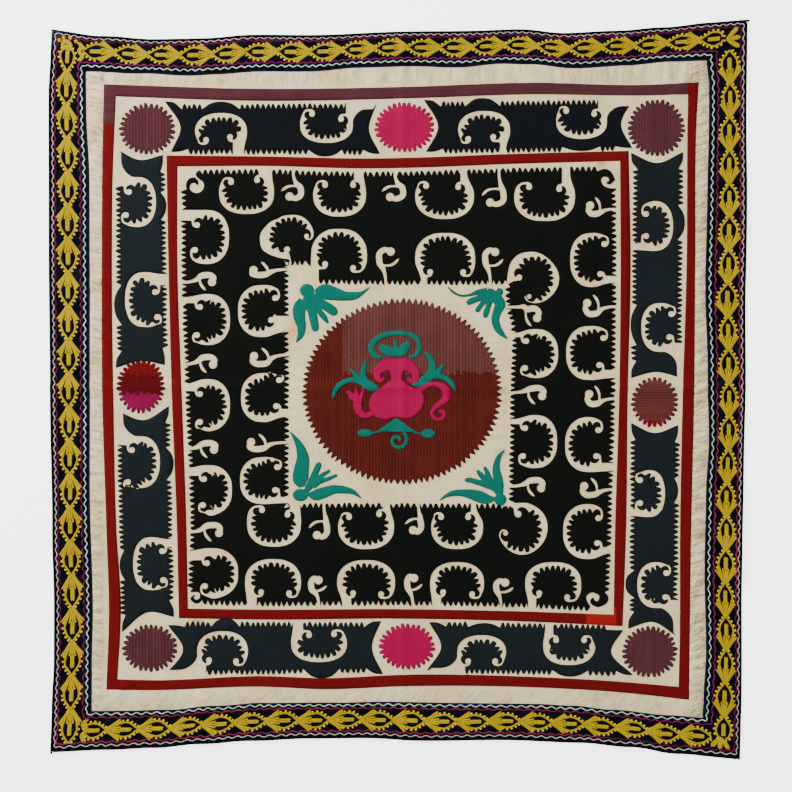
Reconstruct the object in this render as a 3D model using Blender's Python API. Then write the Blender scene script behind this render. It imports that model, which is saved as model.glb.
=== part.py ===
"""Suzani cloth, laid out face up on a flat surface.

A cream cotton ground carries the embroidery. Four black cotton strips are sewn over its edge as a
border, and four narrow folded strips bind the outside. The corners have been pulled outwards and
the sides between them have drawn in, so every edge is a line with a measured bow.
The origin is under the middle of the cloth, +X is to the right, +Y to the top and +Z up.
"""

import math

import bmesh
import bpy

# Driving dimensions, in metres
MM = 0.001
CLOTH_WIDTH = 1390 * MM
CLOTH_HEIGHT = 1460 * MM
STRIP_WIDTH = 75 * MM
SHEET = 1.2 * MM
GAP = 0.3 * MM
SEAM_LAP = 12 * MM
SEAM_FOOT = 4 * MM
BINDING_WIDTH = 5 * MM
BINDING_EDGE = 1.7 * MM
BINDING_CROWN = 0.4 * MM
LOOSE_END_RIGHT = 4 * MM
LOOSE_END_DOWN = 3 * MM
GRID_STEP = 58 * MM

# Half sizes of the cloth, of the panel inside the seam, and of the cut ground
HALF_W = CLOTH_WIDTH / 2
HALF_H = CLOTH_HEIGHT / 2
PANEL_W = HALF_W - STRIP_WIDTH
PANEL_H = HALF_H - STRIP_WIDTH
GROUND_W = PANEL_W + SEAM_LAP
GROUND_H = PANEL_H + SEAM_LAP
STRIP_EDGE = BINDING_EDGE + GAP

# Where the corners lie, x and y in metres
OUTER_CORNERS = {
    "top_left": (-0.6946, 0.7208),
    "top_right": (0.6969, 0.7398),
    "bottom_left": (-0.6976, -0.7257),
    "bottom_right": (0.6819, -0.7402),
}
SEAM_CORNERS = {
    "top_left": (-0.6260, 0.6356),
    "top_right": (0.6152, 0.6576),
    "bottom_left": (-0.6142, -0.6426),
    "bottom_right": (0.6068, -0.6560),
}

# How far each side draws in from the straight line between its corners.
# Columns: share of the way along the side, inward distance in millimetres
OUTER_BOWS = {
    "top": (
        (0.07, 15), (0.15, 23), (0.22, 23), (0.29, 17), (0.38, 19), (0.50, 15),
        (0.60, 15), (0.67, 13), (0.74, 22), (0.81, 19), (0.88, 13), (0.95, 5),
    ),
    "bottom": (
        (0.08, 6), (0.15, 11), (0.22, 20), (0.29, 27), (0.38, 33), (0.46, 35),
        (0.54, 31), (0.66, 34), (0.77, 30), (0.84, 23), (0.91, 10),
    ),
    "left": ((0.10, -6), (0.30, -5), (0.50, -2), (0.69, 3), (0.80, 7), (0.87, 7), (0.94, 3)),
    "right": ((0.12, 0), (0.25, -3), (0.38, -2), (0.49, -4), (0.60, -2), (0.75, 0), (0.90, -2)),
}
SEAM_BOWS = {
    "top": (
        (0.09, 6), (0.17, 12), (0.21, 10), (0.28, 6), (0.36, 8), (0.44, 2), (0.52, 1),
        (0.60, 5), (0.67, -1), (0.71, 1), (0.79, 11), (0.87, 7), (0.94, 1),
    ),
    "bottom": (
        (0.05, 1), (0.125, 4), (0.20, 13), (0.28, 20), (0.40, 22), (0.48, 25),
        (0.60, 24), (0.72, 24), (0.79, 21), (0.85, 14), (0.95, 4),
    ),
    "left": ((0.06, 0), (0.17, 5), (0.32, 4), (0.50, 2), (0.66, 0), (0.84, 4), (0.93, 1)),
    "right": (
        (0.04, -5), (0.10, -5), (0.20, -3), (0.34, 0), (0.48, -6),
        (0.58, -9), (0.66, -4), (0.77, -2), (0.90, -6), (0.97, -2),
    ),
}

# The two creases where the cloth was folded for storage
FOLD_ACROSS = {"y": 4 * MM, "half_width": 14 * MM, "height": 2.2 * MM}
FOLD_DOWN = {"x": 8 * MM, "half_width": 14 * MM, "height": 1.6 * MM}

# Places where the cloth doesn't lie quite flat.
# Columns: x, y, half length, half width and height in millimetres, and turn in degrees
LIFTS = (
    (-360, 690, 120, 34, 5.0, 0),
    (40, 704, 110, 30, 4.0, 0),
    (400, 696, 120, 34, 5.0, 2),
    (-430, -690, 120, 32, 4.0, -4),
    (60, -680, 150, 34, 5.0, 0),
    (470, -700, 110, 30, 4.0, 4),
    (-676, 330, 110, 30, 4.0, 90),
    (-668, -300, 130, 32, 4.5, 90),
    (684, 300, 120, 30, 4.0, 90),
    (674, -330, 120, 32, 4.5, 90),
    (-560, 585, 95, 20, 2.5, -48),
    (560, 600, 95, 20, 2.5, 48),
    (-545, -590, 95, 20, 2.5, 48),
    (545, -600, 95, 20, 2.5, -48),
)

COLOURS = {
    "ground_cotton": (0.652, 0.585, 0.468, 1.0),
    "border_cotton": (0.006, 0.007, 0.011, 1.0),
    "binding_cotton": (0.004, 0.005, 0.006, 1.0),
}
COTTON_ROUGHNESS = 0.9
SIDES_INWARD = {"top": (0, -1), "bottom": (0, 1), "left": (1, 0), "right": (-1, 0)}
SIDE_CORNERS = {
    "top": ("top_left", "top_right"),
    "bottom": ("bottom_left", "bottom_right"),
    "left": ("top_left", "bottom_left"),
    "right": ("top_right", "bottom_right"),
}


def mix(a, b, share):
    """The point a share of the way from a to b."""
    return (a[0] + (b[0] - a[0]) * share, a[1] + (b[1] - a[1]) * share)


def bow(rows, share):
    """The inward distance at a share of the side, smooth from row to row."""
    rows = ((0.0, 0.0), *rows, (1.0, 0.0))
    for (s0, d0), (s1, d1) in zip(rows, rows[1:]):
        if s0 <= share <= s1:
            k = (share - s0) / (s1 - s0)
            k = (1 - math.cos(math.pi * k)) / 2
            return (d0 + (d1 - d0) * k) * MM
    return 0.0


def edge_point(corners, bows, side, share):
    """A point on one side of the outer edge or of the seam."""
    start, end = SIDE_CORNERS[side]
    x, y = mix(corners[start], corners[end], share)
    inward = SIDES_INWARD[side]
    depth = bow(bows[side], share)
    return (x + inward[0] * depth, y + inward[1] * depth)


def seam_point(side, share):
    return edge_point(SEAM_CORNERS, SEAM_BOWS, side, share)


def outer_point(side, share):
    return edge_point(OUTER_CORNERS, OUTER_BOWS, side, share)


def panel_point(a, b):
    """A point of the panel, blended from the four sides of the seam."""
    s = (a + PANEL_W) / (2 * PANEL_W)
    t = (PANEL_H - b) / (2 * PANEL_H)
    across = mix(seam_point("top", s), seam_point("bottom", s), t)
    down = mix(seam_point("left", t), seam_point("right", t), s)
    top = mix(SEAM_CORNERS["top_left"], SEAM_CORNERS["top_right"], s)
    bottom = mix(SEAM_CORNERS["bottom_left"], SEAM_CORNERS["bottom_right"], s)
    flat = mix(top, bottom, t)
    return (across[0] + down[0] - flat[0], across[1] + down[1] - flat[1])


def cloth_point(a, b):
    """Where the point a, b of the cut cloth lies, a to the right and b to the top."""
    near_a = max(-PANEL_W, min(PANEL_W, a))
    near_b = max(-PANEL_H, min(PANEL_H, b))
    base = panel_point(near_a, near_b)
    over_a = abs(a - near_a) / STRIP_WIDTH
    over_b = abs(b - near_b) / STRIP_WIDTH
    side_a = outer_point("left" if a < 0 else "right", (HALF_H - near_b) / CLOTH_HEIGHT)
    side_b = outer_point("bottom" if b < 0 else "top", (near_a + HALF_W) / CLOTH_WIDTH)
    if over_a == 0 and over_b == 0:
        return base
    if over_b == 0:
        return mix(base, side_a, over_a)
    if over_a == 0:
        return mix(base, side_b, over_b)
    corner = ("bottom" if b < 0 else "top") + ("_left" if a < 0 else "_right")
    return mix(mix(base, side_a, over_a), mix(side_b, OUTER_CORNERS[corner], over_a), over_b)


def swell(distance):
    """A soft hump: 1 in the middle, 0 from a distance of 1 on."""
    return math.cos(math.pi / 2 * min(distance, 1.0)) ** 2


def lift(x, y):
    """How high the underside lies over the surface."""
    height = FOLD_ACROSS["height"] * swell(abs(y - FOLD_ACROSS["y"]) / FOLD_ACROSS["half_width"])
    height += FOLD_DOWN["height"] * swell(abs(x - FOLD_DOWN["x"]) / FOLD_DOWN["half_width"])
    for cx, cy, length, width, rise, turn in LIFTS:
        dx, dy = x - cx * MM, y - cy * MM
        c, s = math.cos(math.radians(turn)), math.sin(math.radians(turn))
        along, across = (dx * c + dy * s) / (length * MM), (dy * c - dx * s) / (width * MM)
        height += rise * MM * swell(math.hypot(along, across))
    return height


def over_ground(a, b):
    """The height that the ground under a strip adds to it."""
    inside = abs(a) < GROUND_W + GAP and abs(b) < GROUND_H + GAP
    return SHEET + GAP if inside else 0.0


def grid_lines(half, panel, ground, fold_at, fold_width):
    """The grid's lines from edge to edge, closer together at the seam, the binding and the fold."""
    count = round(panel / GRID_STEP)
    lines = [panel * i / count for i in range(-count, count + 1)]
    lines = [v for v in lines if abs(v - fold_at) > fold_width * 1.4]
    lines += [fold_at + fold_width * share for share in (-1, -0.5, 0, 0.5, 1)]
    foot = ground + SEAM_FOOT
    for edge in (ground, foot, (foot + half) / 2, half - BINDING_WIDTH, half - STRIP_EDGE):
        lines += [-edge, edge]
    return sorted(lines)


A_LINES = grid_lines(HALF_W, PANEL_W, GROUND_W, FOLD_DOWN["x"], FOLD_DOWN["half_width"])
B_LINES = grid_lines(HALF_H, PANEL_H, GROUND_H, FOLD_ACROSS["y"], FOLD_ACROSS["half_width"])


def between(lines, low, high):
    """The lines between two limits, with the limits themselves."""
    inner = [v for v in lines if low + GAP / 2 < v < high - GAP / 2]
    return [low, *inner, high]


def material(name):
    made = bpy.data.materials.new(name)
    made.use_nodes = True
    shader = made.node_tree.nodes["Principled BSDF"]
    shader.inputs["Base Color"].default_value = COLOURS[name]
    shader.inputs["Roughness"].default_value = COTTON_ROUGHNESS
    shader.inputs["Metallic"].default_value = 0.0
    made.diffuse_color = COLOURS[name]
    return made


def add_sheet(collection, finish, name, a_lines, b_lines, underside, thickness):
    """A closed sheet over a grid of the cut cloth, with its height from two functions."""
    bm = bmesh.new()
    layers = []
    for is_top in (False, True):
        layer = []
        for b in b_lines:
            row = []
            for a in a_lines:
                x, y = cloth_point(a, b)
                z = lift(x, y) + underside(a, b)
                z += thickness(a, b) if is_top else 0.0
                row.append(bm.verts.new((x, y, z)))
            layer.append(row)
        layers.append(layer)
    low, high = layers
    last_a, last_b = len(a_lines) - 1, len(b_lines) - 1
    for j in range(last_b):
        for i in range(last_a):
            for layer, flip in ((high, False), (low, True)):
                p, q = layer[j][i], layer[j][i + 1]
                r, s = layer[j + 1][i + 1], layer[j + 1][i]
                for corner in ((p, q, r), (p, r, s)):
                    bm.faces.new(corner[::-1] if flip else corner)
    rim = [(0, i) for i in range(last_a)] + [(j, last_a) for j in range(last_b)]
    rim += [(last_b, i) for i in range(last_a, 0, -1)] + [(j, 0) for j in range(last_b, 0, -1)]
    for (j0, i0), (j1, i1) in zip(rim, rim[1:] + rim[:1]):
        bm.faces.new((low[j0][i0], low[j1][i1], high[j1][i1], high[j0][i0]))
    bmesh.ops.recalc_face_normals(bm, faces=bm.faces)
    mesh = bpy.data.meshes.new(name)
    bm.to_mesh(mesh)
    bm.free()
    mesh.materials.append(finish)
    made = bpy.data.objects.new(name, mesh)
    collection.objects.link(made)
    return made


def flat_sheet(a, b):
    return SHEET


def on_surface(a, b):
    return 0.0


def add_ground(collection, finish):
    """The cream panel, which runs under the strips by the lap of the seam."""
    a_lines = between(A_LINES, -GROUND_W, GROUND_W)
    b_lines = between(B_LINES, -GROUND_H, GROUND_H)
    add_sheet(collection, finish, "ground_cloth", a_lines, b_lines, on_surface, flat_sheet)


def add_strips(collection, finish):
    """Top and bottom strips over the full width, left and right strips between them."""
    edge_w, edge_h = HALF_W - STRIP_EDGE, HALF_H - STRIP_EDGE
    end_h = PANEL_H - GAP
    strips = (
        ("border_strip_top", (-edge_w, edge_w), (PANEL_H, edge_h)),
        ("border_strip_bottom", (-edge_w, edge_w), (-edge_h, -PANEL_H)),
        ("border_strip_left", (-edge_w, -PANEL_W), (-end_h, end_h)),
        ("border_strip_right", (PANEL_W, edge_w), (-end_h, end_h)),
    )
    for name, a_range, b_range in strips:
        a_lines = between(A_LINES, *a_range)
        b_lines = between(B_LINES, *b_range)
        add_sheet(collection, finish, name, a_lines, b_lines, over_ground, flat_sheet)


def add_bindings(collection, finish):
    """Folded strips that stand outside the strips' edge and lap over it."""
    step = 0.1 * MM
    lap = SHEET + GAP
    lines_in = (0.0, BINDING_EDGE - step, BINDING_EDGE, BINDING_WIDTH)
    top_of = (0.75, 1.0, 1.0, 0.8)
    crown = lap + SHEET + BINDING_CROWN

    def section(depth):
        """The underside and the top at a distance in from the outer edge."""
        k = min(range(len(lines_in)), key=lambda i: abs(lines_in[i] - depth))
        under = 0.0 if lines_in[k] < BINDING_EDGE else lap
        return under, crown * top_of[k]

    def along_top(a, b):
        return section(HALF_H - abs(b))

    def along_side(a, b):
        return section(HALF_W - abs(a))

    corner = BINDING_WIDTH + GAP
    top_b = [HALF_H - d for d in reversed(lines_in)]
    bottom_b = [-b for b in reversed(top_b)]
    right_a = [HALF_W - d for d in reversed(lines_in)]
    left_a = [-a for a in reversed(right_a)]
    top_a = between(A_LINES, -HALF_W, HALF_W + LOOSE_END_RIGHT)
    bottom_a = between(A_LINES, -HALF_W + corner, HALF_W - corner)
    left_b = between(B_LINES, -HALF_H - LOOSE_END_DOWN, HALF_H - corner)
    right_b = between(B_LINES, -HALF_H, HALF_H - corner)
    pieces = (
        ("binding_top", top_a, top_b, along_top),
        ("binding_bottom", bottom_a, bottom_b, along_top),
        ("binding_left", left_a, left_b, along_side),
        ("binding_right", right_a, right_b, along_side),
    )
    for name, a_lines, b_lines, form in pieces:
        add_sheet(
            collection, finish, name, a_lines, b_lines,
            lambda a, b, form=form: form(a, b)[0],
            lambda a, b, form=form: form(a, b)[1] - form(a, b)[0],
        )


def main():
    for old in list(bpy.data.objects):
        bpy.data.objects.remove(old, do_unlink=True)
    collection = bpy.data.collections.new("suzani_cloth")
    bpy.context.scene.collection.children.link(collection)
    add_ground(collection, material("ground_cotton"))
    add_strips(collection, material("border_cotton"))
    add_bindings(collection, material("binding_cotton"))


main()
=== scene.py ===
# %% [markdown]
# # A suzani, stitch by stitch
#
# A suzani is a large embroidered cloth. This one is a cream cotton panel with a black border sewn round
# it. On the panel lie flat, densely stitched shapes with toothed edges, and on the border run wavy lines
# and a chain of yellow leaves in hooked chain stitch.
#
# The lesson starts from plain solids of the nine pieces of cotton. It puts fine cloth in their place and
# then sews on it. Each step says what the thing is, how it could be made and why it is made this way.

# %% Start from the plain model
import math
import random

import bpy
import numpy as np
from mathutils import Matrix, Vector, noise
from mathutils.geometry import delaunay_2d_cdt


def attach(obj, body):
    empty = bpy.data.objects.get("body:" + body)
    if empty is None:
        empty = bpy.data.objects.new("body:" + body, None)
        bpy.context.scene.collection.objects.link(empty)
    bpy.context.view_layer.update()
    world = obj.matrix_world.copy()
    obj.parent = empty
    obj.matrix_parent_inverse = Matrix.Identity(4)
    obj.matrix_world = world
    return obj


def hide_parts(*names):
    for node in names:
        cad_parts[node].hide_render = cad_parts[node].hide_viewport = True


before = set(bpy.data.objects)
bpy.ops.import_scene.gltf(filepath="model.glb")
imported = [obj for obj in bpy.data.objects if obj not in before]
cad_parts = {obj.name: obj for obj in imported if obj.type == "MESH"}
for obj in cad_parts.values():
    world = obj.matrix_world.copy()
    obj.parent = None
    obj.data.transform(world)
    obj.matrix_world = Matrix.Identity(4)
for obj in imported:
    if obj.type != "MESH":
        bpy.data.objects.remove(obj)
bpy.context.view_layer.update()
BODY = "root"
MM = 0.001

# %% [markdown]
# ## The camera
#
# The cloth is seen square on, as it lies. A camera straight above it, with a long lens, keeps the sides
# parallel. The view takes in 1584 mm of the floor, so one millimetre on the cloth stays one millimetre
# wherever it lies, and the height of the camera follows from the lens.

# %% Set the camera over the cloth
VIEW_WIDTH = 1584 * MM
VIEW_MIDDLE = (-6 * MM, -13 * MM)
LENS = 85.0
SENSOR = 36.0

view = bpy.data.cameras.new("view")
view.lens = LENS
view.sensor_width = SENSOR
camera = bpy.data.objects.new("view", view)
camera.location = (*VIEW_MIDDLE, VIEW_WIDTH * LENS / SENSOR)
bpy.context.scene.collection.objects.link(camera)
bpy.context.scene.camera = camera
print("camera height:", round(camera.location.z, 3), "m")

# %% [markdown]
# ## Colours as the eye sees them
#
# Blender mixes light in linear numbers, but people name colours as a screen shows them. A small helper
# turns the second into the first, so every dye below is written the way it looks.

# %% Write dyes as they look on a screen


def dye(red, green, blue):
    """A linear colour from the three numbers of a screen colour."""
    def linear(value):
        share = value / 255
        return share / 12.92 if share <= 0.04045 else ((share + 0.055) / 1.055) ** 2.4
    return (linear(red), linear(green), linear(blue), 1.0)


print("cream in linear numbers:", [round(v, 3) for v in dye(214, 204, 186)])

# %% [markdown]
# ## Floor and light
#
# A plain pale floor and soft light let the cloth speak. One large lamp stands off to the upper left, so
# that each pucker has a lit side and a shaded one. A weaker one on the right and a pale sky fill the
# shadows. Many small lamps would give many small shadows, and no lamp at all would make the cloth flat.
# The floor glows a little by itself, as a white sweep does that is lit from below.

# %% Lay the floor and hang the lamps
FLOOR_SIDE = 14.0
FLOOR_DROP = 0.4 * MM
FLOOR_COLOUR = dye(250, 250, 251)
FLOOR_GLOW = 2.8
LAMPS = (
    {"name": "window", "place": (-3.0, 2.4, 1.9), "size": 1.5, "power": 345.0},
    {"name": "filler", "place": (2.8, -1.6, 3.2), "size": 3.0, "power": 60.0},
)
SKY_STRENGTH = 0.92

half = FLOOR_SIDE / 2
floor_mesh = bpy.data.meshes.new("floor")
floor_corners = [(-half, -half), (half, -half), (half, half), (-half, half)]
floor_mesh.from_pydata([(x, y, -FLOOR_DROP) for x, y in floor_corners], [], [(0, 1, 2, 3)])
floor_finish = bpy.data.materials.new("floor")
floor_finish.use_nodes = True
floor_shader = floor_finish.node_tree.nodes["Principled BSDF"]
floor_shader.inputs["Base Color"].default_value = FLOOR_COLOUR
floor_shader.inputs["Roughness"].default_value = 0.9
floor_shader.inputs["Emission Color"].default_value = FLOOR_COLOUR
floor_shader.inputs["Emission Strength"].default_value = FLOOR_GLOW
floor_mesh.materials.append(floor_finish)
floor = bpy.data.objects.new("floor", floor_mesh)
bpy.context.scene.collection.objects.link(floor)

for row in LAMPS:
    lamp = bpy.data.lights.new(row["name"], "AREA")
    lamp.shape = "DISK"
    lamp.size = row["size"]
    lamp.energy = row["power"]
    hung = bpy.data.objects.new(row["name"], lamp)
    hung.location = row["place"]
    hung.rotation_euler = (-Vector(row["place"])).to_track_quat("-Z", "Y").to_euler()
    bpy.context.scene.collection.objects.link(hung)

sky = bpy.data.worlds.new("sky")
sky.use_nodes = True
sky.node_tree.nodes["Background"].inputs["Color"].default_value = dye(246, 248, 252)
sky.node_tree.nodes["Background"].inputs["Strength"].default_value = SKY_STRENGTH
bpy.context.scene.world = sky
print("lamps:", [row["name"] for row in LAMPS])

# %% [markdown]
# ## How the cloth lies
#
# The cloth was cut nearly square, but years of hanging have pulled its corners out and let its sides draw
# in. So it has two sets of numbers: where a point was on the cut cloth, and where it lies now. The border
# is drawn on the cut cloth, because its rows follow the edge, and everything on the panel is placed where
# it lies. The same sizes made the plain solids, so the fine cloth fits them.

# %% Sizes of the cut cloth
CLOTH_WIDTH = 1390 * MM
CLOTH_HEIGHT = 1460 * MM
STRIP_WIDTH = 75 * MM
SHEET = 1.2 * MM
GAP = 0.3 * MM
SEAM_LAP = 12 * MM
BINDING_WIDTH = 5 * MM
LOOSE_END_RIGHT = 4 * MM
LOOSE_END_DOWN = 3 * MM
HALF_W = CLOTH_WIDTH / 2
HALF_H = CLOTH_HEIGHT / 2
PANEL_W = HALF_W - STRIP_WIDTH
PANEL_H = HALF_H - STRIP_WIDTH
GROUND_W = PANEL_W + SEAM_LAP
GROUND_H = PANEL_H + SEAM_LAP

OUTER_CORNERS = {
    "top_left": (-0.6946, 0.7208),
    "top_right": (0.6969, 0.7398),
    "bottom_left": (-0.6976, -0.7257),
    "bottom_right": (0.6819, -0.7402),
}
SEAM_CORNERS = {
    "top_left": (-0.6260, 0.6356),
    "top_right": (0.6152, 0.6576),
    "bottom_left": (-0.6142, -0.6426),
    "bottom_right": (0.6068, -0.6560),
}
print("cut cloth:", CLOTH_WIDTH, "by", CLOTH_HEIGHT, "m")

# %% How far each side draws in: share of the way along, millimetres inwards
OUTER_BOWS = {
    "top": (
        (0.07, 15), (0.15, 23), (0.22, 23), (0.29, 17), (0.38, 19), (0.50, 15),
        (0.60, 15), (0.67, 13), (0.74, 22), (0.81, 19), (0.88, 13), (0.95, 5),
    ),
    "bottom": (
        (0.08, 6), (0.15, 11), (0.22, 20), (0.29, 27), (0.38, 33), (0.46, 35),
        (0.54, 31), (0.66, 34), (0.77, 30), (0.84, 23), (0.91, 10),
    ),
    "left": ((0.10, -6), (0.30, -5), (0.50, -2), (0.69, 3), (0.80, 7), (0.87, 7), (0.94, 3)),
    "right": ((0.12, 0), (0.25, -3), (0.38, -2), (0.49, -4), (0.60, -2), (0.75, 0), (0.90, -2)),
}
SEAM_BOWS = {
    "top": (
        (0.09, 6), (0.17, 12), (0.21, 10), (0.28, 6), (0.36, 8), (0.44, 2), (0.52, 1),
        (0.60, 5), (0.67, -1), (0.71, 1), (0.79, 11), (0.87, 7), (0.94, 1),
    ),
    "bottom": (
        (0.05, 1), (0.125, 4), (0.20, 13), (0.28, 20), (0.40, 22), (0.48, 25),
        (0.60, 24), (0.72, 24), (0.79, 21), (0.85, 14), (0.95, 4),
    ),
    "left": ((0.06, 0), (0.17, 5), (0.32, 4), (0.50, 2), (0.66, 0), (0.84, 4), (0.93, 1)),
    "right": (
        (0.04, -5), (0.10, -5), (0.20, -3), (0.34, 0), (0.48, -6),
        (0.58, -9), (0.66, -4), (0.77, -2), (0.90, -6), (0.97, -2),
    ),
}
SIDES_INWARD = {"top": (0, -1), "bottom": (0, 1), "left": (1, 0), "right": (-1, 0)}
SIDE_CORNERS = {
    "top": ("top_left", "top_right"),
    "bottom": ("bottom_left", "bottom_right"),
    "left": ("top_left", "bottom_left"),
    "right": ("top_right", "bottom_right"),
}


def mix(a, b, share):
    return (a[0] + (b[0] - a[0]) * share, a[1] + (b[1] - a[1]) * share)


def bow(rows, share):
    """The inward distance at a share of the side, smooth from row to row."""
    rows = ((0.0, 0.0), *rows, (1.0, 0.0))
    for (s0, d0), (s1, d1) in zip(rows, rows[1:]):
        if s0 <= share <= s1:
            k = (1 - math.cos(math.pi * (share - s0) / (s1 - s0))) / 2
            return (d0 + (d1 - d0) * k) * MM
    return 0.0


def edge_point(corners, bows, side, share):
    start, end = SIDE_CORNERS[side]
    x, y = mix(corners[start], corners[end], share)
    depth = bow(bows[side], share)
    return (x + SIDES_INWARD[side][0] * depth, y + SIDES_INWARD[side][1] * depth)


print("top edge in the middle:", edge_point(OUTER_CORNERS, OUTER_BOWS, "top", 0.5))

# %% Find where a point of the cut cloth lies


def panel_point(a, b):
    """A point of the panel, blended from the four sides of its seam."""
    s = (a + PANEL_W) / (2 * PANEL_W)
    t = (PANEL_H - b) / (2 * PANEL_H)
    top = edge_point(SEAM_CORNERS, SEAM_BOWS, "top", s)
    bottom = edge_point(SEAM_CORNERS, SEAM_BOWS, "bottom", s)
    left = edge_point(SEAM_CORNERS, SEAM_BOWS, "left", t)
    right = edge_point(SEAM_CORNERS, SEAM_BOWS, "right", t)
    across, down = mix(top, bottom, t), mix(left, right, s)
    flat_top = mix(SEAM_CORNERS["top_left"], SEAM_CORNERS["top_right"], s)
    flat_bottom = mix(SEAM_CORNERS["bottom_left"], SEAM_CORNERS["bottom_right"], s)
    flat = mix(flat_top, flat_bottom, t)
    return (across[0] + down[0] - flat[0], across[1] + down[1] - flat[1])


def cloth_point(a, b):
    """Where the point a, b of the cut cloth lies, a to the right and b to the top."""
    near_a = max(-PANEL_W, min(PANEL_W, a))
    near_b = max(-PANEL_H, min(PANEL_H, b))
    base = panel_point(near_a, near_b)
    over_a = abs(a - near_a) / STRIP_WIDTH
    over_b = abs(b - near_b) / STRIP_WIDTH
    if over_a == 0 and over_b == 0:
        return base
    side_a, side_b = "left" if a < 0 else "right", "bottom" if b < 0 else "top"
    if over_b == 0:
        share = (HALF_H - near_b) / CLOTH_HEIGHT
        return mix(base, edge_point(OUTER_CORNERS, OUTER_BOWS, side_a, share), over_a)
    outer_b = edge_point(OUTER_CORNERS, OUTER_BOWS, side_b, (near_a + HALF_W) / CLOTH_WIDTH)
    if over_a == 0:
        return mix(base, outer_b, over_b)
    outer_a = edge_point(OUTER_CORNERS, OUTER_BOWS, side_a, (HALF_H - near_b) / CLOTH_HEIGHT)
    corner = OUTER_CORNERS[side_b + "_" + side_a]
    return mix(mix(base, outer_a, over_a), mix(outer_b, corner, over_a), over_b)


print("cut corner lies at:", cloth_point(HALF_W, HALF_H))

# %% [markdown]
# ## Folds, lifts and puckers
#
# A laid cloth touches the floor in most places. Here two soft ridges cross it where it was folded for
# storage, the edge lifts in a few long humps, and the cotton puckers where the dense stitching has drawn
# it up. The ridges and humps are the plain solids' own. The puckers are finer: they run across the cream
# bands at the sides, slant in the lower band and stand upright in the upper one. Soft noise, stretched
# along each pucker, gives them without a simulation, and it is the same on every run.

# %% The folds and lifts of the plain model
FOLD_ACROSS = {"y": 4 * MM, "half_width": 14 * MM, "height": 2.2 * MM}
FOLD_DOWN = {"x": 8 * MM, "half_width": 14 * MM, "height": 1.6 * MM}
# Columns: x, y, half length, half width and height in millimetres, and turn in degrees
LIFTS = (
    (-360, 690, 120, 34, 5.0, 0), (40, 704, 110, 30, 4.0, 0), (400, 696, 120, 34, 5.0, 2),
    (-430, -690, 120, 32, 4.0, -4), (60, -680, 150, 34, 5.0, 0), (470, -700, 110, 30, 4.0, 4),
    (-676, 330, 110, 30, 4.0, 90), (-668, -300, 130, 32, 4.5, 90), (684, 300, 120, 30, 4.0, 90),
    (674, -330, 120, 32, 4.5, 90), (-560, 585, 95, 20, 2.5, -48), (560, 600, 95, 20, 2.5, 48),
    (-545, -590, 95, 20, 2.5, 48), (545, -600, 95, 20, 2.5, -48),
)


def swell(distance):
    """A soft hump: 1 in the middle, 0 from a distance of 1 on."""
    return math.cos(math.pi / 2 * min(distance, 1.0)) ** 2


def lift(x, y):
    """How high the underside lies over the floor."""
    height = FOLD_ACROSS["height"] * swell(abs(y - FOLD_ACROSS["y"]) / FOLD_ACROSS["half_width"])
    height += FOLD_DOWN["height"] * swell(abs(x - FOLD_DOWN["x"]) / FOLD_DOWN["half_width"])
    for cx, cy, length, width, rise, turn in LIFTS:
        dx, dy = x - cx * MM, y - cy * MM
        if abs(dx) + abs(dy) > 2 * length * MM:
            continue
        c, s = math.cos(math.radians(turn)), math.sin(math.radians(turn))
        along, across = (dx * c + dy * s) / (length * MM), (dy * c - dx * s) / (width * MM)
        height += rise * MM * swell(math.hypot(along, across))
    return height


print("lift on the fold:", round(lift(0.2, FOLD_ACROSS["y"]) / MM, 2), "mm")

# %% Puckers of the cream bands
PUCKER_HEIGHT = 5.0 * MM
DRAWN_HEIGHT = 0.5 * MM
# How far out from the middle, in metres, the puckers of each side start and are in full
PUCKERS_FROM = {
    "left": (0.590, 0.596), "right": (0.590, 0.596), "top": (0.608, 0.616), "bottom": (0.611, 0.619)
}
# The seam lies between these half widths and half heights
SEAM_NEAREST = (0.57, 0.60)
SEAM_FURTHEST = (0.645, 0.68)
FAR_INSIDE = 0.1
SEAM_FADE = (1 * MM, 7 * MM)


def ramp(value, start, end):
    """0 up to start, 1 from end on, and soft between them."""
    share = max(0.0, min(1.0, (value - start) / (end - start)))
    return share * share * (3 - 2 * share)


def inside_seam(x, y):
    """How far a point lies inside the seam of the border strips, at its nearest side."""
    if abs(x) > SEAM_FURTHEST[0] or abs(y) > SEAM_FURTHEST[1]:
        return 0.0
    inside = FAR_INSIDE
    if abs(x) > SEAM_NEAREST[0]:
        edge = cloth_point(math.copysign(PANEL_W, x), y)[0]
        inside = (edge - x) * math.copysign(1, x)
    if abs(y) > SEAM_NEAREST[1]:
        edge = cloth_point(x, math.copysign(PANEL_H, y))[1]
        inside = min(inside, (edge - y) * math.copysign(1, y))
    return inside


def crease(along, across, drift):
    """Round puckers with sharp furrows between them."""
    return 1.9 * abs(noise.noise((along, across, drift)))


def share_of_pucker(side, out, slant=0.0):
    """0 inside the band of a side and 1 on it. The slant follows a band that isn't quite upright."""
    start, full = PUCKERS_FROM[side]
    return ramp(out, start + slant, full + slant)


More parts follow.
